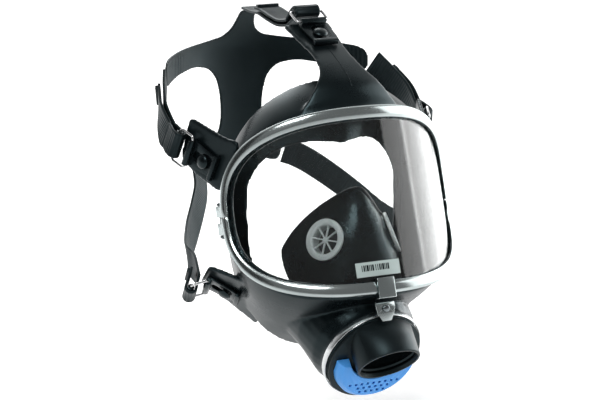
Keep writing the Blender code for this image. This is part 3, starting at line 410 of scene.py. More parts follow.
def smooth_path(keys, per_span):
    """Catmull-Rom curve through the key points."""
    points = [Vector(k) for k in keys]
    ends = [points[0] * 2 - points[1]] + points + [points[-1] * 2 - points[-2]]
    path = []
    for a, b, c, d in zip(ends, ends[1:], ends[2:], ends[3:]):
        for i in range(per_span):
            t = i / per_span
            path.append(0.5 * (2 * b + (c - a) * t + (2 * a - 5 * b + 4 * c - d) * t * t
                               + (3 * b - a - 3 * c + d) * t ** 3))
    path.append(points[-1])
    return path


# ---------------------------------------------------------------- visor surface

def visor_point(arc_length, height, proud=0.0):
    """Point on the visor cylinder, `proud` millimetres in front of it."""
    angle = arc_length / VISOR_RADIUS
    radius = VISOR_RADIUS + proud
    depth = VISOR_RADIUS - radius * cos(angle)
    y = VISOR_FRONT_Y + depth * cos(VISOR_LEAN) + height * sin(VISOR_LEAN)
    z = height * cos(VISOR_LEAN) - depth * sin(VISOR_LEAN)
    return Vector((radius * sin(angle), y, z))


def signed_power(value, exponent):
    return abs(value) ** exponent * (1 if value >= 0 else -1)


def outline_samples(count):
    """Evenly spaced (turn, arc length, height, normal) around the visor's outline."""
    fine = 1440
    dense = []
    for i in range(fine + 1):
        turn = 2 * pi * i / fine
        upper = sin(turn) >= 0
        power = 2 / (TOP_SQUARENESS if upper else BOTTOM_SQUARENESS)
        arc_length = VISOR_RADIUS * VISOR_HALF_ANGLE * signed_power(cos(turn), power)
        height = (VISOR_RISE if upper else VISOR_DROP) * signed_power(sin(turn), power)
        dense.append((turn, arc_length, height))
    lengths = [0.0]
    for a, b in zip(dense, dense[1:]):
        lengths.append(lengths[-1] + sqrt((b[1] - a[1]) ** 2 + (b[2] - a[2]) ** 2))
    samples = []
    k = 0
    for i in range(count):
        target = lengths[-1] * i / count
        while lengths[k + 1] <= target:
            k += 1
        share = (target - lengths[k]) / (lengths[k + 1] - lengths[k])
        samples.append([dense[k][n] + share * (dense[k + 1][n] - dense[k][n]) for n in range(3)])
    result = []
    for i, (turn, arc_length, height) in enumerate(samples):
        before = samples[i - 1]
        after = samples[(i + 1) % count]
        tangent = Vector((after[1] - before[1], after[2] - before[2])).normalized()
        result.append((turn, arc_length, height, Vector((tangent.y, -tangent.x))))
    return result


OUTLINE = outline_samples(OUTLINE_POINTS)


def edge_point(index, out, proud):
    """Point near outline sample `index`, `out` millimetres away from the visor's middle."""
    _, arc_length, height, normal = OUTLINE[index % OUTLINE_POINTS]
    return visor_point(arc_length + out * normal.x, height + out * normal.y, proud)


def side_share(index):
    """0 at the middle of the top and bottom, 1 at the sides of the visor."""
    return abs(OUTLINE[index % OUTLINE_POINTS][1]) / (VISOR_RADIUS * VISOR_HALF_ANGLE)


def outline_ring(out, proud, narrowing=0.0):
    """Ring parallel to the outline; `narrowing` moves it outwards towards the visor's sides."""
    return [edge_point(i, out + narrowing * side_share(i) ** 3, proud) for i in range(OUTLINE_POINTS)]


def scaled_ring(share, proud):
    """Outline shrunk towards the visor's middle."""
    return [visor_point(a * share, h * share, proud) for _, a, h, _ in OUTLINE]


def lens(name, out, thickness, finish):
    rings = [scaled_ring(share, 0.0) for share in (k / 16 for k in range(1, 16))]
    rings.append(outline_ring(out, 0.0))
    obj = sheet(name, rings, finish, thickness, wrap=True)
    bm = bmesh.new()
    bm.from_mesh(obj.data)
    centre = bm.verts.new(visor_point(0.0, 0.0) * MM)
    bm.verts.ensure_lookup_table()
    for i in range(OUTLINE_POINTS):
        bm.faces.new((bm.verts[i], centre, bm.verts[(i + 1) % OUTLINE_POINTS]))
    bmesh.ops.recalc_face_normals(bm, faces=bm.faces)
    bm.to_mesh(obj.data)
    bm.free()
    return obj


# ---------------------------------------------------------------- buckle places

RING_OUT = Vector((0, -cos(RING_TILT), -sin(RING_TILT)))
RING_UP = Vector((0, -sin(RING_TILT), cos(RING_TILT)))
RING = placement(RING_CENTRE, RING_OUT, (1, 0, 0))
PORT_OUT = Vector((0, -cos(PORT_TILT), -sin(PORT_TILT)))
PORT = placement(PORT_RIM, PORT_OUT, (1, 0, 0))

TEMPLE = placement((-87.0, 20.2, 22.0), (-0.93, -0.37, 0.03), (-0.36, 0.85, 0.385))
JAW = placement((-72.8, 18.6, -70.9), (-0.665, -0.289, -0.689), (-0.702, 0.557, 0.444))
CROWN = placement((0.0, 17.7, 103.0), (0, -0.42, 0.907), (0, 0.907, 0.42))
BUCKLES = {
    "forehead": CROWN,
    "temple_right": TEMPLE,
    "temple_left": mirrored(TEMPLE),
    "jaw_right": JAW,
    "jaw_left": mirrored(JAW),
}
# How far each wire frame is folded out of its lug, and the way its strap leaves it.
FRAME_FOLDS = {"forehead": 0, "temple_right": 0, "temple_left": 0, "jaw_right": 48, "jaw_left": 0}
STRAP_AWAY = {
    "forehead": Vector((0, 0.88, -0.47)),
    "temple_right": Vector((-0.10, 0.85, 0.50)),
    "temple_left": Vector((0.10, 0.85, 0.50)),
    "jaw_right": Vector((0.50, 0.68, 0.54)),
    "jaw_left": Vector((-0.10, 0.95, 0.25)),
}


# ---------------------------------------------------------------- facepiece

def seal_rim(turn):
    """Outermost line of the face seal, where the shell turns inwards."""
    upper = sin(turn) >= 0
    power = 2 / (2.2 if upper else 2.7)
    x = SEAL_HALF_WIDTH * signed_power(cos(turn), power)
    z = (SEAL_TOP if upper else -SEAL_BOTTOM) * signed_power(sin(turn), power)
    side = abs(x) / SEAL_HALF_WIDTH
    y = (-4.0 if upper else 6.0) + (27.0 if upper else 17.0) * side ** 2
    return Vector((x, y, z))


def seal_lip(turn):
    """Free inner edge of the sealing flange."""
    rim = seal_rim(turn)
    upper = max(0.0, sin(turn))
    lower = max(0.0, -sin(turn))
    width = 12.0 + 32.0 * upper ** 1.2 + 9.0 * lower ** 2
    flat = Vector((rim.x, 0, rim.z))
    inward = -flat.normalized()
    return rim + inward * width + Vector((0, -8.0 - 3.0 * upper, 0))


def shell_ring(share, inset=0.0):
    """Ring part of the way from behind the visor frame (0) to the face seal's rim (1)."""
    ring = []
    for i in range(OUTLINE_POINTS):
        turn = OUTLINE[i][0]
        front = edge_point(i, SHELL_OUT, -4.3)
        rim = seal_rim(turn)
        bulge = 3.5 * max(0.0, sin(turn)) + 7.0 * max(0.0, -sin(turn))
        control = front.lerp(rim, 0.42)
        outward = Vector((control.x, 0, control.z)).normalized()
        control += outward * bulge
        point = front * (1 - share) ** 2 + control * (2 * share * (1 - share)) + rim * share ** 2
        ring.append(point - outward * inset)
    return ring


def facepiece_shell():
    outer = [
        outline_ring(LIP_INSET - 3.0, 2.5),
        outline_ring(BEAD_OUT, 2.5),
        outline_ring(BEAD_OUT, -2.7),
        outline_ring(NECK_OUT, -2.7),
        outline_ring(NECK_OUT, -4.3),
    ]
    outer += [shell_ring(share) for share in (k / 12 for k in range(13))]
    outer.append([seal_lip(sample[0]) for sample in OUTLINE])
    outer.append([seal_lip(sample[0]) * 0.7 for sample in OUTLINE])
    return loft("facepiece", outer, "rubber_black", fan_ends=True)


def facepiece_hollow():
    lips = [seal_lip(sample[0]) for sample in OUTLINE]
    rings = [
        outline_ring(LIP_INSET, 14.0, 2.6),
        outline_ring(LIP_INSET, -4.6, 2.6),
    ]
    rings += [shell_ring(0.12 + 0.8 * k / 10, WALL) for k in range(11)]
    rings.append([p * 0.985 + Vector((0, -2.2, 0)) for p in lips])
    rings.append([p * 0.985 + Vector((0, 40.0, 0)) for p in lips])
    return loft("facepiece_hollow", rings, None, fan_ends=True)


def oval(centre, up, half_width, half_height, count=34):
    across = Vector((1, 0, 0))
    turns = [2 * pi * i / count for i in range(count)]
    return [centre + across * (half_width * cos(t)) + up * (half_height * sin(t)) for t in turns]


def chin_cone(inset, front):
    """Chin bowl that leads from the cavity to the clamp ring; `front` is where it starts before the ring."""
    back_up = Vector((0, -0.42, 0.9075))
    radius = COLLAR_RADIUS - inset
    rings = [
        oval(RING_CENTRE + RING_OUT * front, RING_UP, radius, radius),
        oval(RING_CENTRE - RING_OUT * 9.0, RING_UP, radius, radius),
        oval(RING_CENTRE - RING_OUT * 16.0, RING_UP, radius + 3.5, radius + 2.0),
        oval(Vector((0, -34, -91)), back_up, 43.0 - inset, 33.0 - inset),
        oval(Vector((0, -16, -86)), back_up, 44.0 - 1.6 * inset, 30.0 - 1.6 * inset),
    ]
    return loft("chin_cone", rings, None)


def rounded(points, radius, segments=8):
    """Round the corners of a closed polygon."""
    result = []
    count = len(points)
    for i, point in enumerate(points):
        here = Vector(point)
        before = Vector(points[i - 1]) - here
        after = Vector(points[(i + 1) % count]) - here
        reach = min(radius, before.length / 2.2, after.length / 2.2)
        start = here + before.normalized() * reach
        end = here + after.normalized() * reach
        for k in range(segments + 1):
            t = k / segments
            point_2d = start * (1 - t) ** 2 + here * (2 * t * (1 - t)) + end * t ** 2
            result.append((point_2d.x, point_2d.y))
    return result


def side_lugs():
    temple_loop = rounded([(-21, -27), (-7, -23), (26.5, -20.5), (22.5, 10), (6, 14), (-21, 14)], 5.0)
    jaw_loop = rounded([(-28, -36), (-6, -27), (17, -20), (20, 13), (0, 18), (-28, 32)], 5.0)
    lugs = []
    for right, loop in ((TEMPLE, temple_loop), (JAW, jaw_loop)):
        other = [(x, -y) for x, y in reversed(loop)]
        for matrix, points in ((right, loop), (mirrored(right), other)):
            lugs.append(plate("side_lug", [points], LUG_THICKNESS, -LUG_THICKNESS, None, matrix))
    return lugs


def forehead_lug():
    """Tongue that grows out of the shell behind the visor frame and rises to the crown buckle."""
    # centre line (y, z), half width, and how far its edges fall back and down
    stations = [
        (-33.0, 64.0, 38.0, 7.0, 7.5), (-31.0, 70.5, 34.0, 5.5, 7.5), (-26.0, 78.0, 25.0, 2.5, 3.5),
        (-14.5, 86.0, 16.5, 0.5, 1.2), (2.3, 94.4, 14.0, 0.0, 0.8), (17.7, 100.9, 15.5, 0.0, 0.8),
        (38.0, 109.6, 17.5, 0.0, 0.8),
    ]
    centre = smooth_path([(0, y, z) for y, z, _, _, _ in stations], 8)
    shape = smooth_path([(half, back, down) for _, _, half, back, down in stations], 8)
    shares = [k / 8 - 1 for k in range(17)]
    rows = []
    for point, (half, back, down) in zip(centre, shape):
        rows.append([point + Vector((half * t, back * t * t, -down * t * t)) for t in shares])
    return sheet("forehead_lug", rows, None, LUG_THICKNESS)


def build_facepiece():
    face = facepiece_shell()
    join(face, chin_cone(0.0, 0.0), *side_lugs(), forehead_lug())
    cut(face, facepiece_hollow(), chin_cone(WALL, 5.0), cup_room())
    cut(face, lens("lens_groove", 0.8, LENS_THICKNESS + 2 * GAP, None))
    for matrix in BUCKLES.values():
        cut(face, rod(STUD_RADIUS + GAP, -14.0, 8.0, matrix, 36))


# ---------------------------------------------------------------- visor frame

def frame_section(index):
    """Closed C section around the rubber bead, its outer corners rounded."""
    inner = -4.4 + 2.6 * side_share(index) ** 3
    front = [(inner, 3.5), ((inner + 4.4) / 2 - 1.5, 4.5), (2.6, 4.4), (4.2, 3.2)]
    crown = smooth_path([Vector((*p, 0)) for p in front], 5)
    shape = [(inner, 2.8)] + [(p.x, p.y) for p in crown]
    shape += [(4.2, -3.3), (4.03, -3.7), (3.7, -3.9), (0.9, -3.9), (0.9, -3.05), (3.4, -3.05), (3.4, 2.8)]
    return [edge_point(index, out, proud) for out, proud in shape]


def side_place(side, along=0.0):
    """Beside the visor's side joint (side is 1 or -1 along X): Z runs up it and X points out of it."""
    index = 0 if side == 1 else OUTLINE_POINTS // 2
    centre = edge_point(index, LUG_OUT, 0.6)
    up = edge_point(index + 1, LUG_OUT, 0.6) - edge_point(index - 1, LUG_OUT, 0.6)
    outward = edge_point(index, 10.0, 0.6) - edge_point(index, 2.0, 0.6)
    return placement(centre, up * side, outward) @ Matrix.Translation((0, 0, along * MM))


def visor_frame(name, first, last, low, high):
    half = loft(name, [frame_section(i) for i in range(first, last + 1)], "frame_steel")
    for side in (1, -1):
        join(half, block((-2.5, -2.3, low), (1.9, 2.3, high), side_place(side)))
        cut(half, rod(SCREW_RADIUS + GAP, low - 2, high + 2, side_place(side), 48))
    return half


def build_visor():
    lens("visor_lens", 0.5, LENS_THICKNESS, "visor_clear")
    half = OUTLINE_POINTS // 2
    upper = visor_frame("visor_frame_upper", 0, half, 0.8, 8.4)
    lower = visor_frame("visor_frame_lower", half, 2 * half, -11.6, -3.4)
    trim_joint(upper, 1)
    trim_joint(lower, -1)
    for side, label in ((1, "left"), (-1, "right")):
        place = side_place(side)
        profile = [(0, 10.9), (2.2, 10.3), (2.2, 8.7), (SCREW_RADIUS, 8.7), (SCREW_RADIUS, -14.4), (0, -14.4)]
        turned(f"frame_screw_{label}", profile, "fastener_steel", place, 36)
        nut = cylinder(f"frame_nut_{label}", 2.4, -13.8, -11.9, "fastener_steel", place, 6)
        cut(nut, rod(SCREW_RADIUS + GAP, -15, -10, place, 36))
    rows = [[visor_point(arc_length, height, LENS_THICKNESS / 2 + GAP + 0.2) for arc_length in LABEL_ARCS]
            for height in (LABEL_TOP, LABEL_TOP - LABEL_HEIGHT)]
    sheet("visor_label", rows, "label_silver", 0.3)


def trim_joint(half, keep):
    """Cut one frame half clear of the joint plane at both sides of the visor."""
    for side in (1, -1):
        low, high = (-8.0, 0.25) if keep == 1 else (-0.25, 8.0)
        cut(half, block((-9, -7, low), (1.9, 7, high), side_place(side)))


# ---------------------------------------------------------------- clip, clamp and connector

def build_clip():
    """Steel clip over the lower frame, its bracket on the clamp ring, and the bracket's screw."""
    middle = visor_point(0.0, 0.0)
    out = visor_point(0.0, 0.0, 1.0) - middle
    place = placement(middle + Vector((CLIP_X, 0, 0)), out, (1, 0, 0))
    clip = box("centre_clip", (-CLIP_HALF_WIDTH, CLIP_BOTTOM, 4.9), (CLIP_HALF_WIDTH, CLIP_TOP, 6.3),
               "frame_steel", place, rounding=0.5)
    foot = block((-CLIP_HALF_WIDTH, CLIP_BOTTOM, -0.8), (CLIP_HALF_WIDTH, CLIP_BOTTOM + 1.3, 6.0), place)
    hook = block((-CLIP_HALF_WIDTH, CLIP_TOP - 1.3, 2.9), (CLIP_HALF_WIDTH, CLIP_TOP, 6.0), place)
    join(clip, foot, hook)
    path = [(-80.4, -66.0), (-82.0, -69.0), (-82.6, -73.0), (-84.2, -78.0)]
    rows = [[(CLIP_X + x * w, y, z) for x in (-1, -0.5, 0, 0.5, 1)]
            for (y, z), w in zip(path, (7.2, 7.2, 6.4, 3.4))]
    bracket = sheet("clip_bracket", rows, "frame_steel", 1.3)
    place = placement((CLIP_X, -82.0, -69.6), (0, -1, 0.12), (1, 0, 0))
    cut(bracket, rod(1.7, -4, 4, place, 60))
    profile = [(0, 2.6), (2.3, 2.3), (2.6, 1.2), (1.3, 1.2), (1.3, -3.0), (0, -3.0)]
    turned("clip_screw", profile, "fastener_steel", place, 72)


def build_clamp():
    """Clamp band around the rubber collar."""
    turned("clamp_band", ring_profile(COLLAR_RADIUS + GAP, BAND_RADIUS, -5.6, -0.8), "clamp_steel", RING, 120)


def build_connector():
    """Threaded port on a flanged housing; what overhangs the flange is trimmed to its round edge."""
    envelope = [(0, 40.0), (FLANGE_RADIUS, 40.0), (FLANGE_RADIUS, GAP), (HOUSING_RADIUS, GAP),
                (HOUSING_RADIUS, -9.0), (NECK_RADIUS, -11.0), (NECK_RADIUS, -16.6), (0, -16.6)]
    housing = turned("connector_housing", envelope, "housing_black", RING, 132)
    body = turned("housing_body", [(0, 2.2), (40.0, 2.2), (40.0, -30.0), (0, -30.0)], None, RING, 60)
    tube = [(0, 0), (BORE_RADIUS + 1.3, 0), (PORT_RADIUS, -0.6), (PORT_RADIUS + 0.5, -40.0), (0, -40.0)]
    join(body, turned("port_tube", tube, None, PORT, 120))
    combine(housing, "INTERSECT", body)
    back = [(0, -7.0), (NECK_RADIUS - 2.4, -7.0), (NECK_RADIUS - 2.4, -25.0), (0, -25.0)]
    cut(housing, turned("housing_back", back, None, RING, 108))
    crest = BORE_RADIUS - THREAD_DEPTH
    bore = [(0, 4.0), (BORE_RADIUS + 0.6, 4.0), (BORE_RADIUS, -1.0)]
    for i in range(2):
        top = -2.2 - i * THREAD_PITCH
        bore += [(crest, top), (crest, top - 0.9), (BORE_RADIUS, top - 1.7), (BORE_RADIUS, top - 2.6)]
    bore += [(crest, -13.4), (crest, -16.0), (0, -16.0)]
    cut(housing, turned("port_bore", bore, None, PORT, 102))
    inhale = RING @ Matrix.Translation((0, INHALE_UP * MM, 0))
    exhale = RING @ Matrix.Translation((0, -EXHALE_DOWN * MM, 0))
    cut(housing, rod(INHALE_RADIUS, -9, 11, inhale, 78), rod(EXHALE_RADIUS, -9, 5, exhale, 78))
    turned("port_washer", ring_profile(14.5, crest - GAP, -15.7, -13.8), "valve_rubber", PORT, 72)
    valve_seat("inhalation_valve_seat", INHALE_RADIUS - GAP, 8.6, -6.8, -4.0, inhale)
    valve_disc("inhalation_valve_disc", 9.9, -8.1, -7.2, inhale)
    valve_seat("exhalation_valve_seat", EXHALE_RADIUS - GAP, 7.0, -6.8, -3.2, exhale)
    valve_disc("exhalation_valve_disc", 8.6, -2.7, -1.8, exhale)


def add_spokes(seat, count, low, high, matrix):
    """Join spokes to a valve seat, from corner `low` to corner `high` and all round."""
    for i in range(count):
        join(seat, block(low, high, matrix @ Matrix.Rotation(2 * pi * i / count, 4, "Z")))


def valve_seat(name, outer, inner, low, high, matrix):
    """Ring with a hub on spokes, all one piece."""
    seat = turned(name, ring_profile(inner, outer, low, high), "housing_black", matrix, 72)
    join(seat, rod(1.9, low + 0.2, high - 0.2, matrix, 36))
    add_spokes(seat, 4, (1.2, -0.5, low + 0.4), (inner + 0.8, 0.5, high - 0.4), matrix)


def valve_disc(name, radius, low, high, matrix):
    turned(name, [(0, high), (radius, high), (radius, low), (0, low)], "valve_rubber", matrix, 72)


def build_cover():
    """Perforated cap over the exhalation valve; it pulls off along the port's axis."""
    def outline(radius, top):
        start = 270 - 78
        return arc((0, 0), radius, start, 540 - start, 90) + [(radius * 0.97, top), (-radius * 0.97, top)]

    def shell(name, radius, top, low, high, finish):
        slope = [(low, radius, top), (high - 3.0, radius - 0.6, top), (high, radius - 3.6, top - 1.0)]
        rings = [[(x, y, z) for x, y in outline(r, t)] for z, r, t in slope]
        return loft(name, rings, finish, RING)

    cover = shell("exhalation_cover", COVER_RADIUS, 3.0, COVER_LOW, COVER_HIGH, "cover_blue")
    inside = shell("cover_inside", COVER_RADIUS - 1.8, 1.2, COVER_LOW - 1.0, COVER_HIGH - 1.8, None)
    cut(cover, inside, rod(PORT_RADIUS + 2.6, -40, 20, PORT, 96))
    for row in range(3):
        for column in range(-4, 5):
            x = column * 4.6 + (2.3 if row % 2 else 0.0)
            y = -16.6 - row * 3.6
            if sqrt(x * x + y * y) < COVER_RADIUS - 5.6:
                cut(cover, block((x - 1, y - 1, COVER_HIGH - 4), (x + 1, y + 1, COVER_HIGH + 2), RING))


# ---------------------------------------------------------------- inner mask

def cup_point(turn, share):
    """Orinasal cup: from its face edge (share 0) to the housing collar (share 1)."""
    rise = sin(turn)
    upper = rise > 0
    taper = 1.0 - CUP_NOSE_TAPER * max(0.0, rise)
    rim = Vector((CUP_HALF_WIDTH * cos(turn) * taper, -9.0 - (27.0 if upper else 18.0) * rise ** 2,
                  -40.0 + (CUP_TOP + 40.0 if upper else -CUP_BOTTOM - 40.0) * rise))
    middle = Vector((29.0 * cos(turn), -51.0 - 12.0 * rise, -52.0 + (38.5 if upper else 56.0) * rise))
    collar = RING_CENTRE - RING_OUT * 19.0 + (Vector((cos(turn), 0, 0)) + RING_UP * rise) * CUP_COLLAR
    return rim * (1 - share) ** 2 + middle * (2 * share * (1 - share)) + collar * share ** 2


def cup_room():
    """Space the cup fills, with clearance, cut out of the facepiece."""
    rings = []
    for k in range(9):
        ring = [cup_point(2 * pi * i / 30, k / 8) for i in range(30)]
        middle = sum(ring, Vector()) / len(ring)
        rings.append([p + (p - middle).normalized() * (CUP_WALL / 2 + 0.9) for p in ring])
    return loft("cup_room", rings, None, fan_ends=True)


def control_valve_place():
    """On the wearer's right of the cup, Z out of its wall."""
    here = cup_point(CONTROL_TURN, CONTROL_SHARE)
    around = cup_point(CONTROL_TURN + 0.02, CONTROL_SHARE) - cup_point(CONTROL_TURN - 0.02, CONTROL_SHARE)
    forward = cup_point(CONTROL_TURN, CONTROL_SHARE + 0.02) - cup_point(CONTROL_TURN, CONTROL_SHARE - 0.02)
    return placement(here, around.cross(forward), (0, 0, 1))


def build_inner_mask():
    turns = [2 * pi * i / 120 for i in range(120)]
    rows = [[cup_point(t, 0.0).lerp(Vector((0, -10, -42)), 0.16) + Vector((0, 4.0, 0)) for t in turns]]
    rows += [[cup_point(t, k / 32) for t in turns] for k in range(33)]
    rows.append([p + RING_OUT * 4.0 for p in rows[-1]])
    cup = sheet("inner_mask", rows, "rubber_black", CUP_WALL, wrap=True)
    right = control_valve_place()
    for side, matrix in (("right", right), ("left", mirrored(right))):
        join(cup, rod(SEAT_RADIUS + 0.8, -4.6, 1.0, matrix, 72))
        cut(cup, rod(SEAT_NECK + GAP, -12, 6, matrix, 72))
        seat = [(SEAT_RADIUS, 3.1), (SEAT_RADIUS, 1.3), (SEAT_NECK, 1.3), (SEAT_NECK, -4.9), (13.4, -4.9),
                (13.4, -6.2), (SEAT_OPENING, -6.2), (SEAT_OPENING, 2.2), (SEAT_OPENING + 1.0, 3.1)]
        body = turned(f"control_valve_seat_{side}", seat, "valve_grey", matrix, 66)
        join(body, rod(2.0, 0.2, 1.9, matrix, 36))
        add_spokes(body, SPOKES, (1.2, -0.45, 0.4), (SEAT_OPENING + 0.6, 0.45, 1.7), matrix)
        valve_disc(f"control_valve_disc_{side}", 11.6, -7.6, -6.7, matrix)


# ---------------------------------------------------------------- head harness

def head_point(x, z):
    """Point on the back of the head's outline, leaning forward above the crown line."""
    y = HEAD_CENTRE_Y + HEAD_HALF_LENGTH * sqrt(max(0.0, 1 - (x / HEAD_HALF_WIDTH) ** 2))
    lean = (max(0.0, z - 75.0) / 8.8) ** 2
    return Vector((x, y - lean, z))


def build_harness_plate():
    columns = [ARM_END * (-1 + 2 * i / 88) * 1.02 for i in range(89)]
    heights = [PLATE_TOP + 2 - (PLATE_TOP + 28) * i / 64 for i in range(65)]
    rows = [[head_point(x, z) for x in columns] for z in heights]
    harness = sheet("head_harness", rows, "rubber_harness", HARNESS_THICKNESS)
    half = [(6.0, 108.8), (7.0, 101.0), (9.5, 94.0), (16.0, 88.6), (32.0, 85.8), (60.0, 83.0), (ARM_END, 79.5),
            (ARM_END, 60.5), (60.0, 65.5), (42.0, 68.5), (28.0, 65.5), (20.5, 57.0), (17.5, 44.0), (16.5, 28.0),
            (20.0, 14.0), (33.0, 8.8), (29.4, -9.6), (14.0, -5.0), (4.0, 6.0)]
    loop = half + [(-x, z) for x, z in reversed(half)]
    place = Matrix.Rotation(radians(90), 4, "X")
    combine(harness, "INTERSECT", plate("stencil", [rounded(loop, 7.0, 10)], 320.0, -320.0, None, place))


def wire_place(name):
    """Wire frame of a buckle: origin on its near side, X to the far side, Y along both."""
    near = BUCKLES[name] @ Matrix.Translation((WIRE_NEAR_X * MM, 0, WIRE_HEIGHT * MM))
    return near @ Matrix.Rotation(-radians(FRAME_FOLDS[name]), 4, "Y")


def hook_place(name):
    """Bar of a buckle: X the way its strap leaves it, Y along the bar, Z out of the head."""
    far_side = wire_place(name) @ Matrix.Translation((WIRE_LENGTH * MM, 0, 0))
    bar = far_side.to_3x3() @ Vector((0, 1, 0))
    away = STRAP_AWAY[name]
    away = (away - bar * away.dot(bar)).normalized()
    return placement(far_side.translation / MM, away.cross(bar), away)


def strap_route(name):
    """Centre line and outward normals of a strap, from the harness plate to its buckle."""
    side = -1 if name.endswith("right") else 1
    hook = hook_place(name)
    level = -(BAR_RADIUS + GAP + STRAP_THICKNESS / 2)
    lead = JAW_LEADS.get(name, (CUT_X + CUT_GAP + 5.0, 0, level))
    last = [(hook @ (Vector(p) * MM)) / MM for p in (lead, (CUT_X + CUT_GAP, 0, level))]
    out = hook.to_3x3() @ Vector((0, 0, 1))
    if name == "forehead":
        keys = [(0, 129.6, 110.4), (0, 113.0, 109.8), (0, 97.0, 110.4), (0, 80.0, 107.6), (0, 66.0, 106.0)]
        normals = [(0, 0.3, 0.95), (0, -0.05, 1.0), (0, 0.0, 1.0), (0, -0.15, 0.98), (0, 0.1, 1.0)]
    elif name.startswith("temple"):
        keys = [head_point(side * (ARM_END + 2.6), 69.0), (side * 90.0, 82.0, 60.0), (side * 96.0, 68.5, 49.0)]
        normals = [(side * 0.85, 0.5, 0.0), (side * 0.93, 0.36, -0.1), (side * 0.97, 0.1, -0.1)]
    elif name == "jaw_left":
        keys = [head_point(33.4, -1.2), (41.0, 135.0, -4.0), (51.0, 129.0, -10.0), (65.0, 119.0, -21.0),
                (78.0, 104.0, -33.5), (88.0, 87.0, -45.0)]
        normals = [(0.22, 0.97, 0.0), (0.36, 0.93, 0.0), (0.5, 0.86, 0.0), (0.66, 0.75, 0.0), (0.79, 0.6, 0.0),
                   (0.89, 0.45, 0.0)]
    else:
        keys = [head_point(-33.4, -1.2), (-40.0, 133.5, -4.0), (-46.0, 117.0, -19.5), (-55.0, 104.0, -31.5),
                (-69.0, 84.5, -44.0), (-82.5, 61.5, -53.5)]
        normals = [(-0.3, 0.95, 0.0), (-0.45, 0.88, -0.05), (-0.5, 0.85, -0.1), (-0.5, 0.85, -0.15),
                   (-0.5, 0.85, -0.15), (-0.6, 0.78, 0.0)]
    path = smooth_path([Vector(k) for k in keys] + last, STRAP_STEPS)
    normal_path = smooth_path([Vector(n).normalized() for n in normals] + [out, out], STRAP_STEPS)
    return path, [n.normalized() for n in normal_path]


def ribbon(name, stations):
    """Ribbed rubber strap through (centre, width vector) stations, with plain rounded edges."""
    centres = [c for c, _ in stations]
    lengths = [0.0]
    for p, q in zip(centres, centres[1:]):
        lengths.append(lengths[-1] + (q - p).length)
    count = int(lengths[-1] / RING_SPACING)
    half = [(0.0, 1.0), (0.2, 1.0), (0.4, 1.0), (0.43, 1.0), (0.455, 1.0), (0.485, 0.75), (0.5, 0.35)]
    section = [(-across, height) for across, height in reversed(half[1:])] + half
    section += [(across, -height) for across, height in reversed(section)]
    rings = []
    k = 0
    for i in range(count + 1):
        here = lengths[-1] * i / count
        while k < len(lengths) - 2 and lengths[k + 1] < here:
            k += 1
        share = (here - lengths[k]) / max(1e-6, lengths[k + 1] - lengths[k])
        centre = centres[k].lerp(centres[k + 1], share)
        width = stations[k][1].lerp(stations[k + 1][1], share)
        near = max(0, k - 1)
        far = min(len(centres) - 1, k + 2)
        tangent = centres[far] - centres[near]
        normal = tangent.cross(width).normalized()
        wave = 0.5 + 0.5 * cos(2 * pi * here / RIB_PITCH)
        wave = wave * wave * (3 - 2 * wave)
        edge = min(here, lengths[-1] - here)
        ring = []
        for across, height in section:
            thickness = STRAP_THICKNESS / 2
            if abs(across) < 0.41 and edge > 2.0:
                thickness -= RIB_DEPTH * (1 - wave)
            ring.append(centre + width * across + normal * (thickness * height))
        rings.append(ring)
    return loft(name, rings, "rubber_harness")


def widths_along(path, normals, widths):
    """Stations with width vectors square to the path and to its normals."""
    stations = []
    for i, point in enumerate(path):
        tangent = path[min(i + 1, len(path) - 1)] - path[max(i - 1, 0)]
        stations.append((point, normals[i].cross(tangent).normalized() * widths[i]))
    return stations


def strap_widths(name, path, normals):
    widths = [STRAP_WIDTH] * len(path)
    if name == "forehead":
        widths = [min(STRAP_WIDTH, 12.0 + 3 * i / STRAP_STEPS) for i in range(len(path))]
    stations = widths_along(path, normals, widths)
    bar = hook_place(name).to_3x3() @ Vector((0, STRAP_WIDTH, 0))
    if bar.dot(stations[-1][1]) < 0:
        bar = -bar
    for i in range(BAR_BLEND):
        centre, width = stations[-1 - i]
        stations[-1 - i] = (centre, width.lerp(bar, 1 - i / BAR_BLEND).normalized() * width.length)
    return stations


def tail_stations(stations, normals, length):
    """Free end of a strap, from its buckle back along the outside of the strap."""
    tail = []
    travelled = 0.0
    before = stations[-1][0]
    settled = STRAP_THICKNESS + TAIL_GAP
    start = 2 * (BAR_RADIUS + GAP) + STRAP_THICKNESS
    for i in reversed(range(len(stations))):
        point, width = stations[i]
        travelled += (point - before).length
        before = point
        tangent = stations[min(i + 1, len(stations) - 1)][0] - stations[max(i - 1, 0)][0]
        normal = tangent.cross(width).normalized()
        if normal.dot(normals[i]) < 0:
            normal = -normal
        if travelled > length:
            break
        share = min(1.0, (travelled + CUT_X + CUT_GAP) / 19.0)
        lift = start + (settled - start) * share * share * (3 - 2 * share)
        tail.append((point + normal * lift, width.normalized() * STRAP_WIDTH))
    return tail


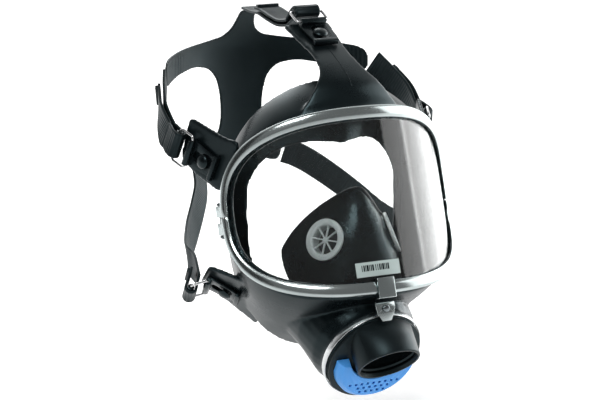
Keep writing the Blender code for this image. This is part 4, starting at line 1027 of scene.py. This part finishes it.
def build_strap(name, strap, normals):
    """Strap from the harness plate round the buckle's bar to its free end, with the moulded stop at the tip."""
    hook = hook_place(name)
    reach = BAR_RADIUS + GAP + STRAP_THICKNESS / 2
    local = [(CUT_X, -reach), (CUT_X / 2, -reach)]
    for i in range(31):
        angle = radians(270 - 6.0 * i)
        local.append((reach * cos(angle), reach * sin(angle)))
    local.append((4.0, reach - 0.3))
    short = name.startswith("jaw")
    if short:
        local += JAW_TAIL
    across = hook.to_3x3() @ Vector((0, 1, 0))
    if across.dot(strap[-1][1]) < 0:
        across = -across
    stations = [((hook @ Vector((x * MM, 0, z * MM))) / MM, across * STRAP_WIDTH) for x, z in local]
    if not short:
        stations += tail_stations(strap, normals, TAIL_LENGTHS[name.split("_")[0]])
    end = ribbon(name + "_strap", strap + stations)
    tip, width = stations[-1]
    along = tip - stations[-2][0]
    normal = along.cross(width)
    if normal.dot(normals[-1]) < 0:
        normal = -normal
    half = STRAP_WIDTH / 2 - 1.0
    join(end, block((-4.0, -half, -0.6), (-1.2, half, 2.8), placement(tip, normal, along)))


def build_buckle(name):
    matrix = BUCKLES[name]
    outline = rounded([(-9.0, -7.6), (9.0, -9.6), (13.0, -9.6), (13.0, 9.6), (9.0, 9.6), (-9.0, 7.6)], 3.0)
    slot = arc((0, 0), STUD_RADIUS + 0.4, 120, 240, 16) + arc((7.0, 0), 3.6, -120, 120, 30)
    tab = plate(name + "_buckle_tab", [outline, slot], 2.0, 0.5, "buckle_black", matrix)
    pull_bar = block((-11.5, -9.5, 0.5), (-8.2, 9.5, 4.6), matrix, rounding=0.6)
    across = Matrix.Rotation(radians(90), 4, "X")
    near = matrix @ Matrix.Translation((WIRE_NEAR_X * MM, 0, WIRE_HEIGHT * MM)) @ across
    sleeve_foot = block((10.8, -9.4, 0.5), (14.8, 9.4, 4.4), matrix)
    join(tab, pull_bar, rod(2.4, -9.4, 9.4, near, 42), sleeve_foot)
    cut(tab, rod(WIRE_RADIUS + 0.4, -14, 14, near, 36))
    wire_frame = wire_place(name)
    corner = 2.2
    x_out = WIRE_LENGTH - corner
    y_out = WIRE_HALF_WIDTH - corner
    loop = []
    for x, y, start in ((x_out, y_out, 0), (corner, y_out, 90), (corner, -y_out, 180), (x_out, -y_out, 270)):
        loop += [(px, py, 0.0) for px, py in arc((x, y), corner, start, start + 90, 9)]
    curve = tube_curve(name, loop, WIRE_RADIUS, 6, cyclic=True)
    curve_piece(name + "_buckle_wire", curve, "wire_steel", wire_frame)
    far = wire_frame @ Matrix.Translation((WIRE_LENGTH * MM, 0, 0)) @ across
    profile = ring_profile(WIRE_RADIUS + 0.4, BAR_RADIUS, -9.6, 9.6)
    turned(name + "_buckle_bar", profile, "buckle_black", far, 42)
    stud = [(0, 6.2), (2.6, 5.9), (4.4, 5.1), (STUD_HEAD_RADIUS, 4.2), (STUD_HEAD_RADIUS - 0.3, 3.3),
            (STUD_RADIUS, 3.3), (STUD_RADIUS, -3.6), (4.6, -3.6), (4.6, -4.6), (0, -4.6)]
    turned(name + "_stud", stud, "buckle_black", matrix, 42)


def build_harness():
    build_harness_plate()
    for name in BUCKLES:
        path, normals = strap_route(name)
        strap = strap_widths(name, path, normals)
        build_strap(name, strap, normals)
        build_buckle(name)


build_facepiece()
build_visor()
build_clip()
build_clamp()
build_connector()
build_cover()
build_inner_mask()
build_harness()


# ---------------------------------------------------------------- materials

EVEN = (1, 1, 1)
METAL = {"Metallic": 1.0}
CLEAR = {"Transmission Weight": 1.0, "IOR": 1.45}
RUBBER_GLOSS = {"Specular IOR Level": 0.36, "Specular Tint": (0.66, 0.93, 1.0, 1.0)}
PATCH_SCALE = 35
BUMP_DEPTH = 0.0001

# Each finish: colour, worn colour, roughness range, grain scale, grain stretch, bump strength, shader inputs.
FINISHES = {
    "rubber_black": ((0.002, 0.0036, 0.0046), (0.0045, 0.0075, 0.0085), (0.24, 0.38), 1400, EVEN, 0.12,
                     RUBBER_GLOSS),
    "rubber_harness": ((0.002, 0.0034, 0.0044), (0.0045, 0.007, 0.008), (0.38, 0.52), 1600, EVEN, 0.2,
                       RUBBER_GLOSS),
    "visor_clear": ((0.97, 0.99, 0.985), (0.95, 0.98, 0.975), (0.0, 0.03), 300, EVEN, 0.004, CLEAR),
    "frame_steel": ((0.58, 0.64, 0.64), (0.5, 0.56, 0.56), (0.14, 0.24), 1100, (1, 1, 6), 0.05, METAL),
    "clamp_steel": ((0.72, 0.74, 0.745), (0.62, 0.64, 0.65), (0.14, 0.24), 1300, (1, 1, 8), 0.06, METAL),
    "fastener_steel": ((0.28, 0.31, 0.32), (0.2, 0.23, 0.24), (0.12, 0.22), 2400, EVEN, 0.1, METAL),
    "wire_steel": ((0.82, 0.82, 0.82), (0.7, 0.71, 0.72), (0.12, 0.25), 2600, EVEN, 0.05, METAL),
    "housing_black": ((0.002, 0.0032, 0.004), (0.0045, 0.006, 0.007), (0.34, 0.46), 1800, EVEN, 0.12,
                      RUBBER_GLOSS),
    "buckle_black": ((0.002, 0.003, 0.004), (0.0045, 0.006, 0.007), (0.2, 0.34), 2000, EVEN, 0.1,
                     RUBBER_GLOSS),
    "valve_grey": ((0.9, 0.96, 0.96), (0.76, 0.83, 0.83), (0.26, 0.42), 1900, EVEN, 0.1, {}),
    "valve_rubber": ((0.05, 0.052, 0.053), (0.09, 0.092, 0.093), (0.4, 0.55), 2000, EVEN, 0.1, {}),
    "cover_blue": ((0.07, 0.36, 0.92), (0.1, 0.42, 0.98), (0.30, 0.44), 1700, EVEN, 0.14, {}),
    "label_silver": ((0.6, 0.7, 0.68), (0.5, 0.6, 0.58), (0.3, 0.45), 900, EVEN, 0.05, {}),
}


def noise(tree, scale, detail, stretch=EVEN):
    place = tree.nodes.new("ShaderNodeTexCoord")
    mapping = tree.nodes.new("ShaderNodeMapping")
    mapping.inputs["Scale"].default_value = stretch
    tree.links.new(place.outputs["Object"], mapping.inputs["Vector"])
    made = tree.nodes.new("ShaderNodeTexNoise")
    made.inputs["Scale"].default_value = scale
    made.inputs["Detail"].default_value = detail
    tree.links.new(mapping.outputs["Vector"], made.inputs["Vector"])
    return made.outputs["Fac"]


def spread(tree, source, low, high, start=0.3, end=0.7):
    """Map start..end of a value to low..high."""
    node = tree.nodes.new("ShaderNodeMapRange")
    node.inputs["From Min"].default_value = start
    node.inputs["From Max"].default_value = end
    node.inputs["To Min"].default_value = low
    node.inputs["To Max"].default_value = high
    tree.links.new(source, node.inputs["Value"])
    return node.outputs["Result"]


def blend_colour(tree, share, first, second):
    node = tree.nodes.new("ShaderNodeMix")
    node.data_type = "RGBA"
    node.inputs[6].default_value = (*first, 1)
    node.inputs[7].default_value = (*second, 1)
    tree.links.new(share, node.inputs[0])
    return node.outputs[2]


def finish(name, colour, worn, roughness, grain, stretch, bump, settings):
    """Procedural finish: patchy colour and roughness, with a fine grain in the bump."""
    made = bpy.data.materials.new(name)
    made.use_nodes = True
    tree = made.node_tree
    shader = tree.nodes["Principled BSDF"]
    for key, value in settings.items():
        shader.inputs[key].default_value = value
    patches = noise(tree, PATCH_SCALE, 6.0)
    patchy = blend_colour(tree, spread(tree, patches, 0.0, 1.0), colour, worn)
    tree.links.new(patchy, shader.inputs["Base Color"])
    fine = noise(tree, grain, 3.0, stretch)
    total = tree.nodes.new("ShaderNodeMath")
    total.operation = "ADD"
    tree.links.new(spread(tree, patches, *roughness), total.inputs[0])
    tree.links.new(spread(tree, fine, -0.03, 0.03), total.inputs[1])
    tree.links.new(total.outputs[0], shader.inputs["Roughness"])
    raised = tree.nodes.new("ShaderNodeBump")
    raised.inputs["Strength"].default_value = bump
    raised.inputs["Distance"].default_value = BUMP_DEPTH
    tree.links.new(fine, raised.inputs["Height"])
    tree.links.new(raised.outputs["Normal"], shader.inputs["Normal"])
    return made


MATERIALS = {name: finish(name, *values) for name, values in FINISHES.items()}


# ---------------------------------------------------------------- finishing the pieces

# Rubber skins: voxel size in millimetres, smoothing passes, and the share of the faces that is kept.
REMESHED = {"facepiece": (1.12, 6, 0.66), "inner_mask": (0.8, 5, 1.0), "head_harness": (0.62, 3, 1.0)}
PLAIN = ("visor_lens", "visor_label")
EDGE_BEVEL = 0.25


def settled(name):
    """The piece's mesh with its modifiers applied, welded, and moved to the row frame."""
    mesh = evaluated_mesh(MADE[name])
    mesh.transform(MADE[name].matrix_world)
    bm = bmesh.new()
    bm.from_mesh(mesh)
    bmesh.ops.remove_doubles(bm, verts=bm.verts, dist=WELD)
    bmesh.ops.dissolve_limit(bm, angle_limit=radians(0.3), verts=bm.verts, edges=bm.edges)
    return stored(bm, name)


def shaped(name):
    """The finished piece: a soft skin for the large rubber mouldings, and rounded edges for hard parts."""
    obj = bpy.data.objects.new(name + "_skin", settled(name))
    bpy.context.scene.collection.objects.link(obj)
    if name in REMESHED:
        size, passes, kept = REMESHED[name]
        step = obj.modifiers.new("skin", "REMESH")
        step.mode = "VOXEL"
        step.voxel_size = size * MM
        smooth = obj.modifiers.new("soften", "SMOOTH")
        smooth.factor = 0.5
        smooth.iterations = passes
        if kept < 1:
            fewer = obj.modifiers.new("fewer", "DECIMATE")
            fewer.ratio = kept
    elif name not in PLAIN and not name.endswith("_strap"):
        edge = obj.modifiers.new("edges", "BEVEL")
        edge.width = EDGE_BEVEL * MM
        edge.segments = 2
        edge.limit_method = "ANGLE"
        edge.angle_limit = radians(38)
    baked = evaluated_mesh(obj)
    obj.modifiers.clear()
    obj.data = baked
    obj.data.shade_smooth()
    if name not in REMESHED:
        obj.data.set_sharp_from_angle(angle=radians(40))
    return obj


def vertex_values(mesh, kind):
    """Vertex positions ("co") or normals ("normal") as an array."""
    source = mesh.vertices if kind == "co" else mesh.vertex_normals
    values = np.zeros(len(source) * 3)
    source.foreach_get("co" if kind == "co" else "vector", values)
    return values.reshape(-1, 3)


def seat(obj, node):
    """Move the piece so that its box is centred on its CAD node's."""
    points = vertex_values(obj.data, "co")
    middle = (Vector(points.min(0)) + Vector(points.max(0))) / 2
    cad_low, cad_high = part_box(node)
    obj.data.transform(Matrix.Translation((cad_low + cad_high) / 2 - middle))


PIECES = {}
for node in sorted(frame["nodes"]):
    if node.endswith("_strap_end"):
        continue
    piece = shaped(node)
    PIECES[node] = piece
    piece.data.materials.clear()
    piece.data.materials.append(MATERIALS[SLOTS[node]])
    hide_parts(node)
    if node.endswith("_strap"):
        name = node.removesuffix("_strap")
        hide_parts(name + "_strap_end")
        hook = hook_place(name)
        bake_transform(piece)
    else:
        seat(piece, node)
        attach(piece, frame["nodes"][node]["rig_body"])

for made in list(MADE.values()) + CUTTERS:
    bpy.data.objects.remove(made, do_unlink=True)


# ---------------------------------------------------------------- details on the rubber and the label

SEAM_RADIUS = 0.28
BAR_WIDTHS = [0.5, 0.9, 0.5, 1.3, 0.5, 0.7, 1.1, 0.5]


def add_detail(name, data, slot):
    """Small fixed detail that rides on the mask."""
    obj = bpy.data.objects.new(name, data)
    bpy.context.scene.collection.objects.link(obj)
    data.materials.append(MATERIALS[slot])
    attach(obj, "mask")


def arm_ribs(mesh):
    """Cross ribs on the plate's two upper arms."""
    points = vertex_values(mesh, "co")
    normals = vertex_values(mesh, "normal")
    x = points[:, 0] / MM
    z = points[:, 2] / MM
    reach = np.clip((abs(x) - 54.0) / 6.0, 0, 1)
    edge = np.clip(np.minimum(z - 63.0, 80.5 - z) / 1.6, 0, 1)
    wave = 0.5 - 0.5 * np.cos(2 * pi * x / RIB_PITCH)
    points -= normals * (0.34 * MM * reach * edge * wave)[:, None]
    mesh.vertices.foreach_set("co", points.ravel())
    mesh.update()


def seam_line(face, name, points, outward):
    """Raised moulding line laid on the rubber."""
    tree = BVHTree.FromObject(face, bpy.context.evaluated_depsgraph_get())
    hits = []
    for point in points:
        hit = tree.ray_cast((Vector(point) + outward * 25) * MM, -outward)[0]
        if hit is not None:
            hits.append(hit / MM)
    add_detail(name, tube_curve(name, hits, SEAM_RADIUS, 3), "rubber_black")


def label_bars():
    """Generic bars on the label, with no readable print."""
    proud = LENS_THICKNESS / 2 + GAP + 0.42
    top = LABEL_TOP - 2.0
    bottom = LABEL_TOP - 6.2
    edge = -15.5
    bm = bmesh.new()
    for k in range(15):
        width = BAR_WIDTHS[k % len(BAR_WIDTHS)]
        corners = [(edge, top), (edge, bottom), (edge + width, bottom), (edge + width, top)]
        bm.faces.new([bm.verts.new(visor_point(across, height, proud) * MM) for across, height in corners])
        edge += width + BAR_WIDTHS[(k * 3 + 1) % len(BAR_WIDTHS)] * 0.9
    thick = bmesh.ops.extrude_face_region(bm, geom=list(bm.faces))
    raised = [part for part in thick["geom"] if isinstance(part, bmesh.types.BMVert)]
    bmesh.ops.translate(bm, verts=raised, vec=(visor_point(0, 0, 0) - visor_point(0, 0, 0.12)) * MM)
    bmesh.ops.recalc_face_normals(bm, faces=bm.faces)
    add_detail("label_bars", stored(bm, "label_bars"), "housing_black")


arm_ribs(PIECES["head_harness"].data)
tongue = [(0, -29 + 34 * k / 30, 74 + 22 * k / 30) for k in range(31)]
seam_line(PIECES["facepiece"], "forehead_seam", tongue, Vector((0, -0.6, 0.8)))
label_bars()


# ---------------------------------------------------------------- studio

CAMERA_PLACE = (-0.80698, -1.51435, 0.35503)
CAMERA_TURN = radians(27.33135)
CAMERA_RISE = radians(12.01775)
CAMERA_LENS = 149.86
SENSOR_WIDTH = 36
AHEAD = (0.449, 0.869, -0.208)
PALE = (0.95, 0.95, 0.95)
# Painted shade: the floor's mid grey near the camera.
NEAR_FLOOR_SHADE = (0.55, 0.55, 0.55)
DARK = (0.02, 0.02, 0.02)

low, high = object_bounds()
centre = (low + high) / 2


def stage_plane(name, corners, colour):
    """Plane that belongs to the studio; returns its material's nodes."""
    mesh = bpy.data.meshes.new(name)
    mesh.from_pydata(corners, [], [tuple(range(len(corners)))])
    obj = bpy.data.objects.new(name, mesh)
    bpy.context.scene.collection.objects.link(obj)
    made = bpy.data.materials.new(name)
    made.use_nodes = True
    shader = made.node_tree.nodes["Principled BSDF"]
    shader.inputs["Base Color"].default_value = (*colour, 1)
    shader.inputs["Roughness"].default_value = 0.6
    shader.inputs["Specular IOR Level"].default_value = 0.1
    shader.inputs["Emission Color"].default_value = (*colour, 1)
    shader.inputs["Emission Strength"].default_value = 0.0
    mesh.materials.append(made)
    return made.node_tree


def lamp(name, place, size, size_y, power):
    data = bpy.data.lights.new(name, "AREA")
    data.energy = power
    data.shape = "RECTANGLE"
    data.size = size
    data.size_y = size_y
    obj = bpy.data.objects.new(name, data)
    bpy.context.scene.collection.objects.link(obj)
    obj.location = place
    obj.rotation_euler = (centre - Vector(place)).to_track_quat("-Z", "Y").to_euler()


def how_far(tree, output, direction):
    """How far each place lies along a direction."""
    dot = tree.nodes.new("ShaderNodeVectorMath")
    dot.operation = "DOT_PRODUCT"
    dot.inputs[1].default_value = direction
    tree.links.new(tree.nodes.new("ShaderNodeTexCoord").outputs[output], dot.inputs[0])
    return dot.outputs["Value"]


# The world grows paler away from the camera. The floor has painted light: a glow (emission) that grows away
# from the camera, and painted shade, mid grey near the camera turning pale away from it.
floor_z = low.z - 0.012
tree = stage_plane("floor", [(-4, -4, floor_z), (4, -4, floor_z), (4, 5, floor_z), (-4, 5, floor_z)], PALE)
shader = tree.nodes["Principled BSDF"]
away = how_far(tree, "Object", (*AHEAD[:2], 0.0))
# Painted glow: the floor emits light, more of it away from the camera.
tree.links.new(spread(tree, away, 0.05, 0.75, -0.6, 0.5), shader.inputs["Emission Strength"])
# Painted shade: the floor is mid grey near the camera and pale away from it.
tree.links.new(blend_colour(tree, spread(tree, away, 0.0, 1.0, -0.5, 0.3), NEAR_FLOOR_SHADE, PALE),
               shader.inputs["Base Color"])

world = bpy.data.worlds.new("studio")
bpy.context.scene.world = world
world.use_nodes = True
tree = world.node_tree
background = tree.nodes["Background"]
facing = how_far(tree, "Generated", AHEAD)
tree.links.new(spread(tree, facing, 0.18, 1.05, -0.15, 0.7), background.inputs["Strength"])
background.inputs["Color"].default_value = (1.0, 1.0, 1.0, 1)

lamp("key", (-0.9, -1.0, 1.3), 0.8, 0.8, 14)
lamp("fill", (1.4, -0.68, 0.35), 0.75, 1.5, 6)
lamp("strip", (1.1, 0.1, 0.0), 0.9, 1.4, 14)
lamp("back", (0.3, 1.4, 1.1), 1.0, 1.0, 12)
flag = [(-1.3, 0.2, -0.2), (-1.3, -0.5, -0.2), (-1.3, -0.5, 0.9), (-1.3, 0.2, 0.9)]
stage_plane("dark_flag_side", flag, DARK)
bpy.context.scene.view_settings.view_transform = "Standard"

camera_data = bpy.data.cameras.new("camera")
camera_data.lens = CAMERA_LENS
camera_data.sensor_width = SENSOR_WIDTH
camera_data.clip_start = 0.05
camera_data.clip_end = 50
camera = bpy.data.objects.new("camera", camera_data)
bpy.context.scene.collection.objects.link(camera)
right = Vector((cos(CAMERA_TURN), -sin(CAMERA_TURN), 0.0))
back = Vector((-sin(CAMERA_TURN) * cos(CAMERA_RISE), -cos(CAMERA_TURN) * cos(CAMERA_RISE), sin(CAMERA_RISE)))
camera.matrix_world = Matrix((right, back.cross(right), back)).transposed().to_4x4()
camera.location = CAMERA_PLACE
bpy.context.scene.camera = camera
